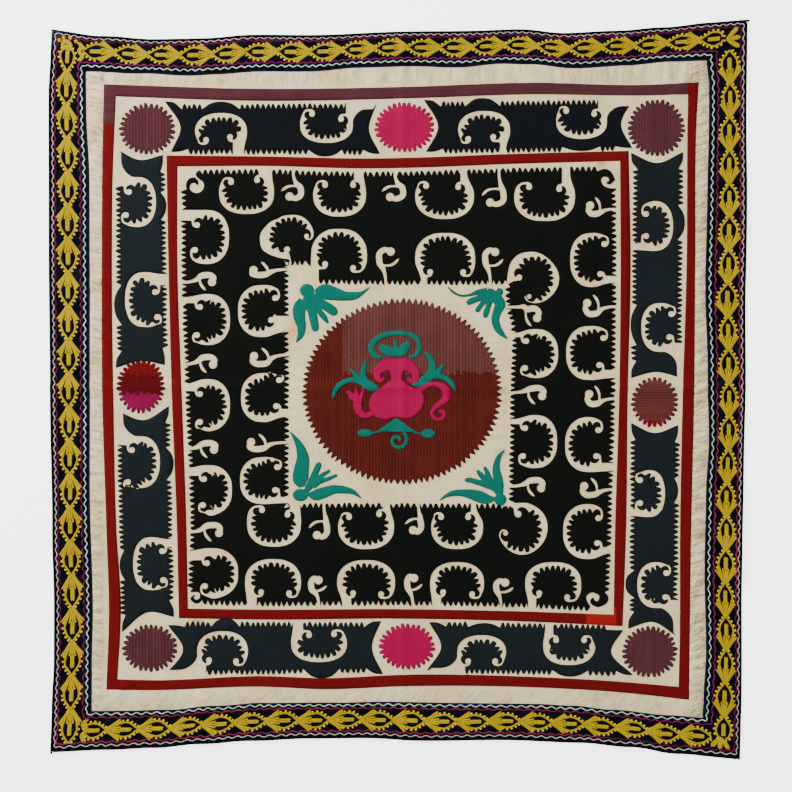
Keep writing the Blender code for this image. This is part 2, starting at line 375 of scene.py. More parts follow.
def pucker(x, y):
    """The small waves that the stitching has drawn into the cotton."""
    left = share_of_pucker("left", -x)
    right = share_of_pucker("right", x, y / 60)
    top = 0.6 * share_of_pucker("top", y)
    bottom = 0.6 * share_of_pucker("bottom", -y, x / 52)
    waves = 0.0
    if left > 0:
        waves += 0.8 * left * crease(x * 11, (y + x * 0.25) * 62, 1.7)
    if right > 0:
        waves += right * crease(x * 11, (y - x * 0.35) * 62, 1.7)
    if top > 0:
        waves += top * crease(x * 40, y * 12, 5.1)
    if bottom > 0:
        waves += bottom * crease((x + y * 0.8) * 34, (y - x * 0.8) * 9, 8.3)
    if waves > 0:
        waves *= ramp(inside_seam(x, y), *SEAM_FADE)
    in_square = ramp(abs(x), 0.170, 0.192) * (1 - ramp(abs(x), 0.206, 0.216))
    in_square *= 1 - ramp(abs(y), 0.110, 0.150)
    waves += 0.5 * in_square * (0.5 + noise.noise((x * 16, y * 92, 4.4)))
    drawn = 0.5 + 0.7 * noise.noise((x * 14, y * 14, 3.3)) + 0.3 * noise.noise((x * 36, y * 36, 6.1))
    return max(0.0, waves) * PUCKER_HEIGHT + max(0.0, drawn) * DRAWN_HEIGHT


def face(x, y, up=0.0):
    """A point on the upper face of the panel, or a little above it."""
    return (x, y, lift(x, y) + SHEET + pucker(x, y) + up)


print("a pucker on the left band:", round(pucker(-0.60, 0.21) / MM, 2), "mm")

# %% [markdown]
# ## Two ways to make a piece
#
# Flat stitched shapes have outlines with hundreds of teeth, and some have holes. The toolkit for them is
# a triangle filler that takes outlines that overlap freely: some are shapes, some are holes, and every
# triangle is kept that lies in a shape and in no hole. Points strewn inside let the result follow the
# cloth's waves. Long even things, such as the border strips, are simpler as a grid of rows and columns.

# %% A shelf for the finished pieces
shelf = bpy.data.collections.new("suzani")
bpy.context.scene.collection.children.link(shelf)
rng = random.Random(7)


def put_on_shelf(name, verts, faces, finishes, slot, finish_of=None):
    """A finished mesh piece that rides with the cloth and shades softly."""
    mesh = bpy.data.meshes.new(name)
    mesh.from_pydata(verts, [], faces)
    for finish in finishes:
        mesh.materials.append(finish)
    if finish_of:
        for polygon in mesh.polygons:
            polygon.material_index = finish_of(polygon.center)
    mesh.shade_smooth()
    made = bpy.data.objects.new(name, mesh)
    shelf.objects.link(made)
    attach(made, BODY)
    triangles = sum(len(p.vertices) - 2 for p in mesh.polygons)
    print(name, "has", triangles, "triangles")
    return made


# %% Fill outlines with triangles


def wound_round(spots, outline):
    """For each spot, whether the outline runs round it."""
    outline = np.array(outline)
    near = np.all((spots > outline.min(axis=0)) & (spots < outline.max(axis=0)), axis=1)
    x, y = spots[near, 0], spots[near, 1]
    winds = np.zeros(len(x), dtype=int)
    for (x0, y0), (x1, y1) in zip(outline, np.roll(outline, -1, axis=0)):
        on_left = (x1 - x0) * (y - y0) - (x - x0) * (y1 - y0) > 0
        winds += (y0 <= y) & (y < y1) & on_left
        winds -= (y1 <= y) & (y < y0) & ~on_left
    found = np.zeros(len(spots), dtype=bool)
    found[near] = winds != 0
    return found


def fill(shapes, holes=(), strewn=()):
    """Points, triangles and edge loops of all that lies in a shape and in no hole."""
    spots, edges = [], []
    for outline in (*shapes, *holes):
        first, count = len(spots), len(outline)
        spots += [Vector(point[:2]) for point in outline]
        edges += [(first + i, first + (i + 1) % count) for i in range(count)]
    spots += [Vector(spot) for spot in strewn]
    points, _, triangles, *_ = delaunay_2d_cdt(spots, edges, [], 0, 1e-7)
    points = np.array(points)
    corners = np.array(triangles)
    middles = points[corners].mean(axis=1)
    wanted = np.zeros(len(corners), dtype=bool)
    for outline in shapes:
        wanted |= wound_round(middles, outline)
    for outline in holes:
        wanted &= ~wound_round(middles, outline)
    used, corners = np.unique(corners[wanted], return_inverse=True)
    corners = corners.reshape(-1, 3).tolist()
    return [tuple(p) for p in points[used].tolist()], corners, edge_loops(corners)


def edge_loops(triangles):
    """The loops of points along the edges that only one triangle has."""
    edges = set()
    for corners in triangles:
        for start, end in zip(corners, corners[1:] + corners[:1]):
            edges.add((start, end))
    after = {}
    for start, end in edges:
        if (end, start) not in edges:
            after.setdefault(start, []).append(end)
    loops = []
    while after:
        first = next(iter(after))
        loop, here = [], first
        while here in after:
            loop.append(here)
            ways = after[here]
            here = ways.pop()
            if not ways:
                del after[loop[-1]]
        loops.append(loop)
    return loops


def strew(left, right, low, high, step_x, step_y):
    """Points in even rows, every second row shifted by half a step."""
    spots = []
    for j in range(1, int((high - low) / step_y)):
        for i in range(1, int((right - left) / step_x)):
            spots.append((left + (i + (j % 2) / 2) * step_x, low + j * step_y))
    return spots


square = [(0, 0), (1, 0), (1, 1), (0, 1)]
notch = [(0.4, 0.6), (0.6, 0.6), (0.6, 1.2), (0.4, 1.2)]
print("a notched square has", len(fill([square], [notch])[1]), "triangles")

# %% [markdown]
# ## The cream ground
#
# The ground is plain handwoven cotton. It is one sheet with its raw edge turned in under the border, so
# it runs 12 mm under the strips. A grid fine enough for the puckers would be wasted under the stitching,
# so points are strewn densely only where bare cloth shows. Its finish is a plain weave: two sets of fine
# ribs that cross, slubs in the yarn, faint soiling, and the orange stains that a wet red dye left.

# %% Small helpers for finishes


def node(tree, kind, settings=None, **inputs):
    """A shader node with its settings, and with values or links on its sockets."""
    made = tree.nodes.new("ShaderNode" + kind)
    for key, value in (settings or {}).items():
        setattr(made, key, value)
    for key, value in inputs.items():
        socket = made.inputs[int(key[1:])] if key[1:].isdigit() else made.inputs[key.replace("_", " ")]
        if isinstance(value, bpy.types.NodeSocket):
            tree.links.new(value, socket)
        else:
            socket.default_value = value
    return made


def reckon(tree, operation, first, second=0.0, third=0.0):
    made = node(tree, "Math", {"operation": operation}, i0=first, i1=second, i2=third)
    return made.outputs[0]


def blend_colours(tree, share, first, second, way="MIX"):
    made = node(tree, "MixRGB", {"blend_type": way}, Fac=share, Color1=first, Color2=second)
    return made.outputs[0]


def steps(tree, value, *stops):
    """A ramp through grey levels or colours: each stop is a place and a level or colour."""
    made = node(tree, "ValToRGB", Fac=value)
    slots = made.color_ramp.elements
    while len(slots) < len(stops):
        slots.new(0.5)
    for slot, (place, level) in zip(slots, stops):
        slot.position = place
        slot.color = level if isinstance(level, tuple) else (level, level, level, 1.0)
    return made.outputs[0]


def ribs(tree, place, width, turn, sway):
    """Soft parallel ribs of one width, turned by an angle in degrees."""
    turned = node(tree, "Mapping", Vector=place, Rotation=(0.0, 0.0, math.radians(turn)))
    wave = node(
        tree, "TexWave", {"wave_type": "BANDS", "bands_direction": "X"},
        Vector=turned.outputs[0], Scale=math.pi / 10 / width, Distortion=sway,
        Detail=1.0, Detail_Scale=60.0,
    )
    return wave.outputs["Fac"]


def cloudy(tree, place, size, detail, stretch=(1.0, 1.0, 1.0)):
    """Soft noise whose clouds are about one size, stretched if need be."""
    turned = node(tree, "Mapping", Vector=place, Scale=stretch)
    made = node(tree, "TexNoise", Vector=turned.outputs[0], Scale=1 / size, Detail=detail, Roughness=0.55)
    return made.outputs["Fac"]


def start_finish(name, roughness, sheen, shine=0.08):
    """A matt cloth shader, its node tree and the place on the cloth."""
    made = bpy.data.materials.new(name)
    made.use_nodes = True
    shader = made.node_tree.nodes["Principled BSDF"]
    shader.inputs["Roughness"].default_value = roughness
    shader.inputs["Specular IOR Level"].default_value = shine
    shader.inputs["Sheen Weight"].default_value = sheen
    shader.inputs["Sheen Roughness"].default_value = 0.5
    place = node(made.node_tree, "TexCoord").outputs["Object"]
    return made, made.node_tree, shader, place


def near_spot(tree, place, x, y, radius):
    """1.35 at a spot given in millimetres, and lower by 1 at each radius from it."""
    offset = node(tree, "VectorMath", {"operation": "SUBTRACT"}, i0=place, i1=(x * MM, y * MM, 0.0))
    flat = node(tree, "VectorMath", {"operation": "MULTIPLY"}, i0=offset.outputs[0], i1=(1.0, 1.0, 0.0))
    away = node(tree, "VectorMath", {"operation": "LENGTH"}, i0=flat.outputs[0]).outputs["Value"]
    return reckon(tree, "SUBTRACT", 1.35, reckon(tree, "DIVIDE", away, radius * MM))


def raise_threads(tree, shader, height, distance):
    bump = node(tree, "Bump", Strength=1.0, Distance=distance, Height=height)
    tree.links.new(bump.outputs[0], shader.inputs["Normal"])


# %% The weave of the ground
CREAM = dye(226, 206, 158)
CREAM_DARK = dye(212, 190, 142)
CREAM_LIGHT = dye(236, 218, 174)
STAIN = dye(232, 168, 104)
# Columns: x, y and radius in millimetres, and how strong
STAINS = (
    (-200, 132, 34, 0.75), (-212, 116, 20, 0.6), (406, 452, 16, 0.8), (92, -475, 18, 0.6),
    (402, -475, 16, 0.5), (-404, -466, 16, 0.6), (-200, 148, 14, 0.5),
)
# Columns: side, how far out its creases start in metres, their turn, spacing in millimetres and strength of
# their painted shade
CREASES = (
    ("left", 0.587, 0.25, 8, 0.8), ("right", 0.576, -0.35, 8, 1.0), ("bottom", 0.598, 2.32, 11, 0.45),
    ("top", 0.608, 1.6, 12, 0.5),
)


def crease_shade(tree, place, colour):
    """Painted shade in the furrows of the puckers: across the bands at the sides, slanting below and upright
    above.
    """
    parts = node(tree, "SeparateXYZ", i0=place).outputs
    outward = {"right": parts[0], "top": parts[1]}
    outward["left"] = reckon(tree, "MULTIPLY", parts[0], -1.0)
    outward["bottom"] = reckon(tree, "MULTIPLY", parts[1], -1.0)
    for side, start, turn, spacing, strength in CREASES:
        share = steps(tree, outward[side], (start, 0.0), (start + 0.008, strength))
        turned = node(tree, "VectorRotate", {"rotation_type": "Z_AXIS"}, Vector=place, Angle=turn).outputs[0]
        waves = cloudy(tree, turned, spacing * MM, 2.0, (0.16, 1.0, 1.0))
        furrow = reckon(tree, "ABSOLUTE", reckon(tree, "SUBTRACT", waves, 0.46))
        # Painted shade: the furrows between the puckers are darkened in the colour
        painted_furrow_shade = steps(tree, furrow, (0.0, 0.40), (0.03, 0.72), (0.07, 1.0))
        colour = blend_colours(tree, share, colour, blend_colours(tree, 1.0, colour, painted_furrow_shade, "MULTIPLY"))
    return colour


def ground_finish():
    made, tree, shader, place = start_finish("ground_weave", 0.92, 0.05)
    warp = ribs(tree, place, 0.9 * MM, 0, 0.6)
    weft = ribs(tree, place, 1.1 * MM, 90, 0.6)
    weave = reckon(tree, "MULTIPLY", warp, weft)
    slub = cloudy(tree, place, 2.6 * MM, 4.0, (0.22, 1.0, 1.0))
    upright_slub = cloudy(tree, place, 2.6 * MM, 4.0, (1.0, 0.22, 1.0))
    soil = cloudy(tree, place, 90 * MM, 5.0)
    colour = steps(tree, soil, (0.30, CREAM_DARK), (0.50, CREAM), (0.75, CREAM_LIGHT))
    shade = steps(tree, reckon(tree, "MULTIPLY", slub, upright_slub), (0.10, 0.74), (0.34, 1.0))
    colour = blend_colours(tree, 0.6, colour, shade, "MULTIPLY")
    # Painted shade in the furrows of the puckers on the cream bands
    colour = crease_shade(tree, place, colour)
    spread = cloudy(tree, place, 12 * MM, 4.0)
    for x, y, radius, strength in STAINS:
        near = reckon(tree, "MULTIPLY", near_spot(tree, place, x, y, radius), spread)
        soft = steps(tree, near, (0.15, 0.0), (0.75, strength))
        colour = blend_colours(tree, soft, colour, STAIN, "MULTIPLY")
    tree.links.new(colour, shader.inputs["Base Color"])
    height = reckon(tree, "ADD", weave, reckon(tree, "MULTIPLY", slub, 0.6))
    raise_threads(tree, shader, height, 0.25 * MM)
    return made


GROUND_FINISH = ground_finish()
print("ground finish has", len(GROUND_FINISH.node_tree.nodes), "nodes")

# %% Cut the ground and lay it
EDGE_STEP = 9 * MM
# Columns: limits left, right, low and high in metres, and the steps along and up in millimetres
STREWN = (
    (-0.58, 0.572, -0.58, 0.58, 15, 15), (-0.65, -0.58, -0.67, 0.67, 5, 2.6),
    (0.572, 0.65, -0.67, 0.67, 5, 2.6), (-0.22, -0.165, -0.16, 0.16, 5, 2.6),
    (0.165, 0.22, -0.16, 0.16, 5, 2.6), (-0.58, 0.58, 0.58, 0.68, 4, 7), (-0.58, 0.58, -0.68, -0.58, 4, 7),
    (-0.24, 0.24, -0.24, 0.24, 7, 7),
)


def ground_outline():
    outline = []
    for side in range(4):
        long_way = 2 * (GROUND_W if side % 2 == 0 else GROUND_H)
        count = round(long_way / EDGE_STEP)
        for i in range(count):
            s = 2 * i / count - 1
            a, b = ((s, -1), (1, s), (-s, 1), (-1, -s))[side]
            outline.append(cloth_point(a * GROUND_W, b * GROUND_H))
    return outline


def two_faced(points, triangles, loops, top, bottom):
    """A closed sheet over the triangles, with its height from two functions."""
    count = len(points)
    verts = [top(x, y) for x, y in points] + [bottom(x, y) for x, y in points]
    faces = list(triangles)
    faces += [tuple(i + count for i in reversed(corners)) for corners in triangles]
    for loop in loops:
        for start, end in zip(loop, loop[1:] + loop[:1]):
            faces.append((end, start, start + count, end + count))
    return verts, faces


strewn = []
for left, right, low, high, step_x, step_y in STREWN:
    strewn += strew(left, right, low, high, step_x * MM, step_y * MM)
points, triangles, loops = fill([ground_outline()], (), strewn)
verts, faces = two_faced(points, triangles, loops, face, lambda x, y: (x, y, lift(x, y) + pucker(x, y)))
ground = put_on_shelf("ground", verts, faces, [GROUND_FINISH], "ground_cotton")
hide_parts("ground_cloth")

# %% [markdown]
# ## The black border strips
#
# Four strips of black cotton are lapped over the ground's edge, the top and bottom ones over the full
# width and the side ones between them. Along the seam each strip is folded under, so its inner edge is
# round and stands a little proud. A grid in the cut cloth's own directions follows the edge wherever it
# has been pulled, and extra rows at the seam make the fold.

# %% Black cotton
TEAL_WORN = dye(34, 44, 50)
WORN_CORNER = (-696, 713, 24)


def black_finish(name, turns, patch, detail, *stops):
    """Black cotton with threads at some angles, rubbed in patches and worn to teal in one corner."""
    made, tree, shader, place = start_finish(name, 0.95, 0.0, 0.02)
    threads = [ribs(tree, place, 0.8 * MM, turn, 0.5) for turn in turns]
    colour = steps(tree, cloudy(tree, place, patch, detail), *stops)
    worn = near_spot(tree, place, *WORN_CORNER)
    colour = blend_colours(tree, steps(tree, worn, (0.2, 0.0), (0.6, 1.0)), colour, TEAL_WORN)
    tree.links.new(colour, shader.inputs["Base Color"])
    height = reckon(tree, "ADD", *threads) if len(threads) == 2 else threads[0]
    raise_threads(tree, shader, height, 0.2 * MM)
    return made


BORDER_FINISH = black_finish(
    "border_weave", (0, 90), 24 * MM, 6.0, (0.46, dye(7, 8, 14)), (0.74, dye(18, 22, 32)))


def even_lines(low, high, step):
    count = max(1, math.ceil((high - low) / step))
    return [low + (high - low) * i / count for i in range(count + 1)]


def lay_grid(a_lines, b_lines, top, bottom):
    """Points and faces of a closed sheet over rows and columns of the cut cloth."""
    wide, high = len(a_lines), len(b_lines)
    count = wide * high
    verts = [place(a, b) for place in (top, bottom) for b in b_lines for a in a_lines]
    faces = []
    for j in range(high - 1):
        for i in range(wide - 1):
            k = j * wide + i
            faces.append((k, k + 1, k + wide + 1, k + wide))
            faces.append((k + count, k + wide + count, k + wide + 1 + count, k + 1 + count))
    rim = [i for i in range(wide)] + [j * wide + wide - 1 for j in range(1, high)]
    rim += [(high - 1) * wide + i for i in range(wide - 2, -1, -1)]
    rim += [j * wide for j in range(high - 2, 0, -1)]
    for start, end in zip(rim, rim[1:] + rim[:1]):
        faces.append((end, start, start + count, end + count))
    return verts, faces


print("even lines:", even_lines(0, 10, 3))

# %% Lay the strips over the ground's edge
STRIP_STEP = 7 * MM
STRIP_EDGE = 2 * MM
# The side strips run this far into the other two, so that no gap shows where they meet
STRIP_JOIN = 0.5 * MM
LAP_EDGE = 4 * MM
FOLD_STOPS = (0.0, 0.5 * MM, 1.2 * MM, 2.4 * MM, 5.0 * MM)


def inward_reach(a, b):
    """How far the point lies outside the seam."""
    return max(abs(a) - PANEL_W, abs(b) - PANEL_H, 0.0)


def strip_height(a, b):
    """The strip's top over the lift: it steps down where the ground under it ends."""
    out = inward_reach(a, b)
    lap = (SHEET + GAP) * (1 - ramp(out, SEAM_LAP, SEAM_LAP + LAP_EDGE))
    roll = 0.9 * MM * (1 - min(1.0, out / (2.4 * MM))) ** 2
    return SHEET + lap - roll


def on_strip(a, b, up=0.0):
    """A point on a border strip, or a little above it, given on the cut cloth."""
    x, y = cloth_point(a, b)
    return (x, y, lift(x, y) + pucker(x, y) + strip_height(a, b) + up)


def under_strip(a, b):
    x, y, z = on_strip(a, b)
    over = lift(x, y) + pucker(x, y)
    lap = SHEET + GAP if abs(a) < GROUND_W + GAP and abs(b) < GROUND_H + GAP else 0.0
    return (x, y, over + min(lap, z - over - 0.2 * MM))


def seam_lines(panel, half):
    """Lines across a strip: close together at the seam's fold and where the lap ends."""
    lines = [panel + stop for stop in FOLD_STOPS]
    lines += even_lines(panel + 8 * MM, half - STRIP_EDGE, 4.8 * MM)
    return lines


edge_w = HALF_W - STRIP_EDGE
across_a, across_b = seam_lines(PANEL_W, HALF_W), seam_lines(PANEL_H, HALF_H)
along_a = even_lines(-edge_w, edge_w, STRIP_STEP)
along_b = even_lines(-PANEL_H - STRIP_JOIN, PANEL_H + STRIP_JOIN, STRIP_STEP)
STRIPS = {
    "top": (along_a, across_b),
    "bottom": (along_a, [-b for b in reversed(across_b)]),
    "left": ([-a for a in reversed(across_a)], along_b),
    "right": (across_a, along_b),
}
for side, (a_lines, b_lines) in STRIPS.items():
    verts, faces = lay_grid(a_lines, b_lines, on_strip, under_strip)
    put_on_shelf("border_" + side, verts, faces, [BORDER_FINISH], "border_cotton")
    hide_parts("border_strip_" + side)

# %% [markdown]
# ## The binding
#
# A narrow strip of black cotton is folded over the outer edge all round and sewn down. At the top right
# it runs past the corner, and at the bottom its ends hang loose. A curve with a round profile would be a
# cord. A folded tape has a flat back, a round outer edge and a thin inner one, so its outline is drawn
# once and carried along the edge, wider and narrower as a hand would fold it.

# %% Fold the binding over the edge
# Columns: distance in from the outer edge and height over the floor, in millimetres
BINDING_OUTLINE = (
    (5.0, 1.65), (5.0, 2.35), (4.3, 2.95), (2.8, 3.15), (1.3, 3.0), (0.4, 2.4),
    (0.0, 1.5), (0.3, 0.6), (0.9, 0.1), (1.7, 0.1), (1.7, 1.6),
)
BINDING_STEP = 5 * MM


def fold_binding(side, low, high):
    """The binding of one side, from one place to another along it."""
    stops = even_lines(low, high, BINDING_STEP)
    verts = []
    for stop in stops:
        hand = 1 + 0.10 * noise.noise((stop * 30, len(side) * 3.0, 0.4))
        puff = 1 + 0.06 * noise.noise((stop * 45, len(side) * 5.0, 2.4))
        for inward, height in BINDING_OUTLINE:
            depth = inward * hand * MM
            a, b = {
                "top": (stop, HALF_H - depth),
                "bottom": (stop, depth - HALF_H),
                "left": (depth - HALF_W, stop),
                "right": (HALF_W - depth, stop),
            }[side]
            x, y = cloth_point(a, b)
            verts.append((x, y, lift(x, y) + pucker(x, y) + height * puff * MM))
    around = len(BINDING_OUTLINE)
    faces = []
    for j in range(len(stops) - 1):
        for i in range(around):
            k, m = j * around + i, j * around + (i + 1) % around
            quad = (k, m, m + around, k + around)
            faces.append(quad if side in ("bottom", "right") else quad[::-1])
    ends = [tuple(range(around)), tuple(range(len(verts) - around, len(verts)))]
    faces += [ends[0][::-1], ends[1]] if side in ("bottom", "right") else [ends[0], ends[1][::-1]]
    return verts, faces


BINDING_FINISH = black_finish(
    "binding_weave", (45,), 16 * MM, 5.0, (0.42, dye(6, 7, 10)), (0.75, dye(16, 19, 24)))
corner = BINDING_WIDTH + 2 * GAP
BINDINGS = {
    "top": (-HALF_W, HALF_W + LOOSE_END_RIGHT),
    "bottom": (-HALF_W + corner, HALF_W - corner),
    "left": (-HALF_H - LOOSE_END_DOWN, HALF_H - corner),
    "right": (-HALF_H, HALF_H - corner),
}
for side, (low, high) in BINDINGS.items():
    verts, faces = fold_binding(side, low, high)
    put_on_shelf(
        "binding_" + side + "_tape", verts, faces, [BINDING_FINISH], "binding_cotton")
    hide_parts("binding_" + side)

# %% [markdown]
# ## Drawing the motifs
#
# An embroiderer draws the whole design on the cloth first, by hand, and no two teeth are alike. So each
# motif here is a short recipe in millimetres, read off two tapes that run right and down from a corner
# above the cloth. The recipes need three strokes of the pen: a soft line through a few stops, a row of
# teeth along a line, and a brush stroke that swells and thins.

# %% Two tapes and a soft line
TAPE_LEFT = -798 * MM
TAPE_TOP = 779 * MM


def tape(right, down):
    """The place on the cloth at a reading of the two tapes in millimetres."""
    return (TAPE_LEFT + right * MM, TAPE_TOP - down * MM)


def on_cloth(outline):
    return [tape(point[0], point[1]) for point in outline]


def soft_line(stops, step=3.0, closed=False):
    """A smooth line through a few stops, with a point every few millimetres."""
    stops = [Vector(stop) for stop in stops]
    count = len(stops)
    slopes = []
    for i, here in enumerate(stops):
        before = stops[i - 1] if closed or i > 0 else here
        after = stops[(i + 1) % count] if closed or i < count - 1 else here
        d0, d1 = (here - before).length, (after - here).length
        if d0 == 0 or d1 == 0:
            slopes.append((after - before) / (d0 + d1))
        else:
            slopes.append(((after - here) * (d0 / d1) + (here - before) * (d1 / d0)) / (d0 + d1))
    line = []
    for i in range(count if closed else count - 1):
        p, q = stops[i], stops[(i + 1) % count]
        m, n = slopes[i], slopes[(i + 1) % count]
        span = (q - p).length
        for j in range(max(1, round(span / step))):
            t = j / max(1, round(span / step))
            spot = p * (2 * t ** 3 - 3 * t ** 2 + 1) + q * (3 * t ** 2 - 2 * t ** 3)
            spot += m * span * (t ** 3 - 2 * t ** 2 + t) + n * span * (t ** 3 - t ** 2)
            line.append(tuple(spot))
    if not closed:
        line.append(tuple(stops[-1]))
    return line


print("a soft line has", len(soft_line([(0, 0), (30, 10), (60, 0)])), "points")

# %% Teeth along a line
# One tooth: share of its foot, and share of its height
TOOTH = (
    (0.0, 0.0), (0.13, 0.42), (0.26, 0.80), (0.40, 0.98),
    (0.54, 1.0), (0.68, 0.88), (0.81, 0.57), (0.92, 0.24),
)
FINGER = (
    (0.0, 0.0), (0.11, 0.42), (0.22, 0.80), (0.36, 0.98),
    (0.50, 1.0), (0.64, 0.97), (0.78, 0.76), (0.90, 0.36),
)
HAND_HEIGHT = 0.12
HAND_LEAN = 0.10
HAND_FOOT = 0.10


def run_along(line):
    """A function that gives the point and the left-hand normal at a distance along the line."""
    reach = [0.0]
    for p, q in zip(line, line[1:]):
        reach.append(reach[-1] + math.dist(p[:2], q[:2]))

    def at(distance):
        distance = max(0.0, min(reach[-1], distance))
        i = next(k for k in range(1, len(reach)) if reach[k] >= distance or k == len(reach) - 1)
        p, q = line[i - 1], line[i]
        span = max(reach[i] - reach[i - 1], 1e-9)
        share = (distance - reach[i - 1]) / span
        spot = mix(p, q, share)
        return spot, ((q[1] - p[1]) / span, -(q[0] - p[0]) / span)

    return at, reach[-1]


def toothed(line, pitch, height, hand=1, tooth=TOOTH):
    """A row of teeth along a line, on the left hand of its run, or on the right with hand -1."""
    at, total = run_along(line)
    count = max(1, round(total / pitch))
    feet = [total * i / count for i in range(count + 1)]
    for i in range(1, count):
        feet[i] += rng.uniform(-HAND_FOOT, HAND_FOOT) * total / count
    outline = []
    for start, end in zip(feet, feet[1:]):
        tall = height * rng.uniform(1 - HAND_HEIGHT, 1 + HAND_HEIGHT)
        lean = rng.uniform(-HAND_LEAN, HAND_LEAN) * (end - start)
        for share, rise in tooth:
            spot, normal = at(start + (end - start) * share + lean * rise)
            out = hand * rise * tall
            outline.append((spot[0] + normal[0] * out, spot[1] + normal[1] * out))
    outline.append(at(total)[0])
    return outline


print("six teeth take", len(toothed([(0, 0), (60, 0)], 10, 8)), "points")

# %% Brush strokes and dots


def brush(stops):
    """The outline of a stroke with a round end. Each stop is a place and the stroke's width there."""
    line = soft_line(stops, 2.5)
    left, right = [], []
    for i, (x, y, width) in enumerate(line):
        p, q = line[max(i - 1, 0)], line[min(i + 1, len(line) - 1)]
        length = math.dist(p[:2], q[:2]) or 1e-9
        nx, ny = (q[1] - p[1]) / length * width / 2, -(q[0] - p[0]) / length * width / 2
        left.append((x + nx, y + ny))
        right.append((x - nx, y - ny))
    (x, y, width), before = line[-1], line[-2]
    heading = math.atan2(y - before[1], x - before[0])
    for turn in (-60, -30, 0, 30, 60):
        angle = heading + math.radians(turn)
        left.append((x + math.cos(angle) * width / 2, y + math.sin(angle) * width / 2))
    return left + right[::-1]


def dot(x, y, rx, ry=None, count=16):
    """A round or oval dot."""
    angles = [2 * math.pi * i / count for i in range(count)]
    return [(x + rx * math.cos(angle), y + (ry or rx) * math.sin(angle)) for angle in angles]


print("a stroke has", len(brush([(0, 0, 4), (20, 5, 6), (40, 0, 2)])), "points")

# %% [markdown]
# ## Stitched shapes
#
# Each shape on the real cloth is covered with laid threads that are tied down by tiny slanting stitches,
# and a line of chain stitch runs round it. The covering stands a little under a millimetre proud, so it
# is a raised patch that follows the puckers, with a low wall at its edge. The chain line is a ridge of its
# own along that edge. Both come from the same outline, so they can't drift apart.

# %% Raise a patch and run a line round it
RISE = 0.8 * MM
SINK = 0.15 * MM
LINE_RISE = 0.25 * MM


def ridge(pile, loop, width, low, high):
    """Adds a soft ridge to a pile of points and faces, on the inner side of a loop on the cloth."""
    verts, faces = pile
    base, count = len(verts), len(loop)
    for i, (x, y) in enumerate(loop):
        p, q = loop[i - 1], loop[(i + 1) % count]
        length = math.dist(p, q) or 1e-9
        nx, ny = -(q[1] - p[1]) / length, (q[0] - p[0]) / length
        for inward, up in ((-0.1, -SINK), (0.35, high), (1.0, low)):
            verts.append(face(x + nx * width * inward, y + ny * width * inward, up))
    for i in range(count):
        k, m = base + 3 * i, base + 3 * ((i + 1) % count)
        faces.append((k, m, m + 1, k + 1))
        faces.append((k + 1, m + 1, m + 2, k + 2))


def stitch(name, shapes, holes=(), finishes=(), finish_of=None, rise=RISE, grain=9 * MM,
           line=None, line_width=1.8 * MM, under=0.0):
    """A covered shape with a chain line round it. The outlines are readings of the tapes."""
    shapes = [on_cloth(outline) for outline in shapes]
    holes = [on_cloth(outline) for outline in holes]
    xs = [x for outline in shapes for x, y in outline]
    ys = [y for outline in shapes for x, y in outline]
    strewn = strew(min(xs), max(xs), min(ys), max(ys), grain, grain)
    points, triangles, loops = fill(shapes, holes, strewn)
    rim = {i for loop in loops for i in loop}
    verts = []
    for i, (x, y) in enumerate(points):
        verts.append(face(x, y, under + (rise * 0.8 if i in rim else rise)))
    faces = list(triangles)
    for loop in loops:
        base = len(verts)
        verts += [face(*points[i], under - SINK) for i in loop]
        for k in range(len(loop)):
            m = (k + 1) % len(loop)
            faces.append((loop[m], loop[k], base + k, base + m))
    put_on_shelf(name, verts, faces, finishes, "ground_cotton", finish_of)
    if line:
        pile = ([], [])
        for loop in loops:
            outline = [points[i] for i in loop]
            ridge(pile, outline, line_width, under + rise - 0.05 * MM, under + rise + LINE_RISE)
        put_on_shelf(name + "_edge", *pile, [line], "ground_cotton")


print("patches stand", RISE / MM, "mm over the cotton")

# %% [markdown]
# ## Laid and couched thread
#
# Close up, the covered shapes show slanting dashes in upright columns, where each laid thread is tied
# down by the same thread on its way back. The dyes were mixed by hand, so one colour runs out and the
# next batch differs. A wave for the threads, a wider one for the columns and soft clouds for the dye give
# all that, and the same recipe with other widths and slants makes each of the yarns.

# %% A recipe for stitched yarn


def couching(tree, place, column, pitch, lean, rows):
    """Slanting dashes in columns, or in rows: the dashes, the columns' swell and a throw per column."""
    parts = node(tree, "SeparateXYZ", i0=place).outputs
    across, along = (parts[1], parts[0]) if rows else (parts[0], parts[1])
    wobble = cloudy(tree, place, 16 * MM, 2.0)
    across = reckon(tree, "MULTIPLY_ADD", wobble, 1.6 * MM, across)
    place_across = reckon(tree, "DIVIDE", across, column)
    number = reckon(tree, "FLOOR", place_across)
    share = reckon(tree, "FRACT", place_across)
    throw = node(tree, "TexWhiteNoise", {"noise_dimensions": "1D"}, W=number).outputs["Value"]
    step = reckon(tree, "MULTIPLY_ADD", share, lean, reckon(tree, "DIVIDE", along, pitch))
    step = reckon(tree, "MULTIPLY_ADD", throw, 0.5, step)
    dashes = reckon(tree, "SINE", reckon(tree, "MULTIPLY", step, 2 * math.pi))
    dashes = reckon(tree, "MULTIPLY_ADD", dashes, 0.5, 0.5)
    swell_of_column = reckon(tree, "SINE", reckon(tree, "MULTIPLY", share, math.pi))
    return dashes, swell_of_column, throw


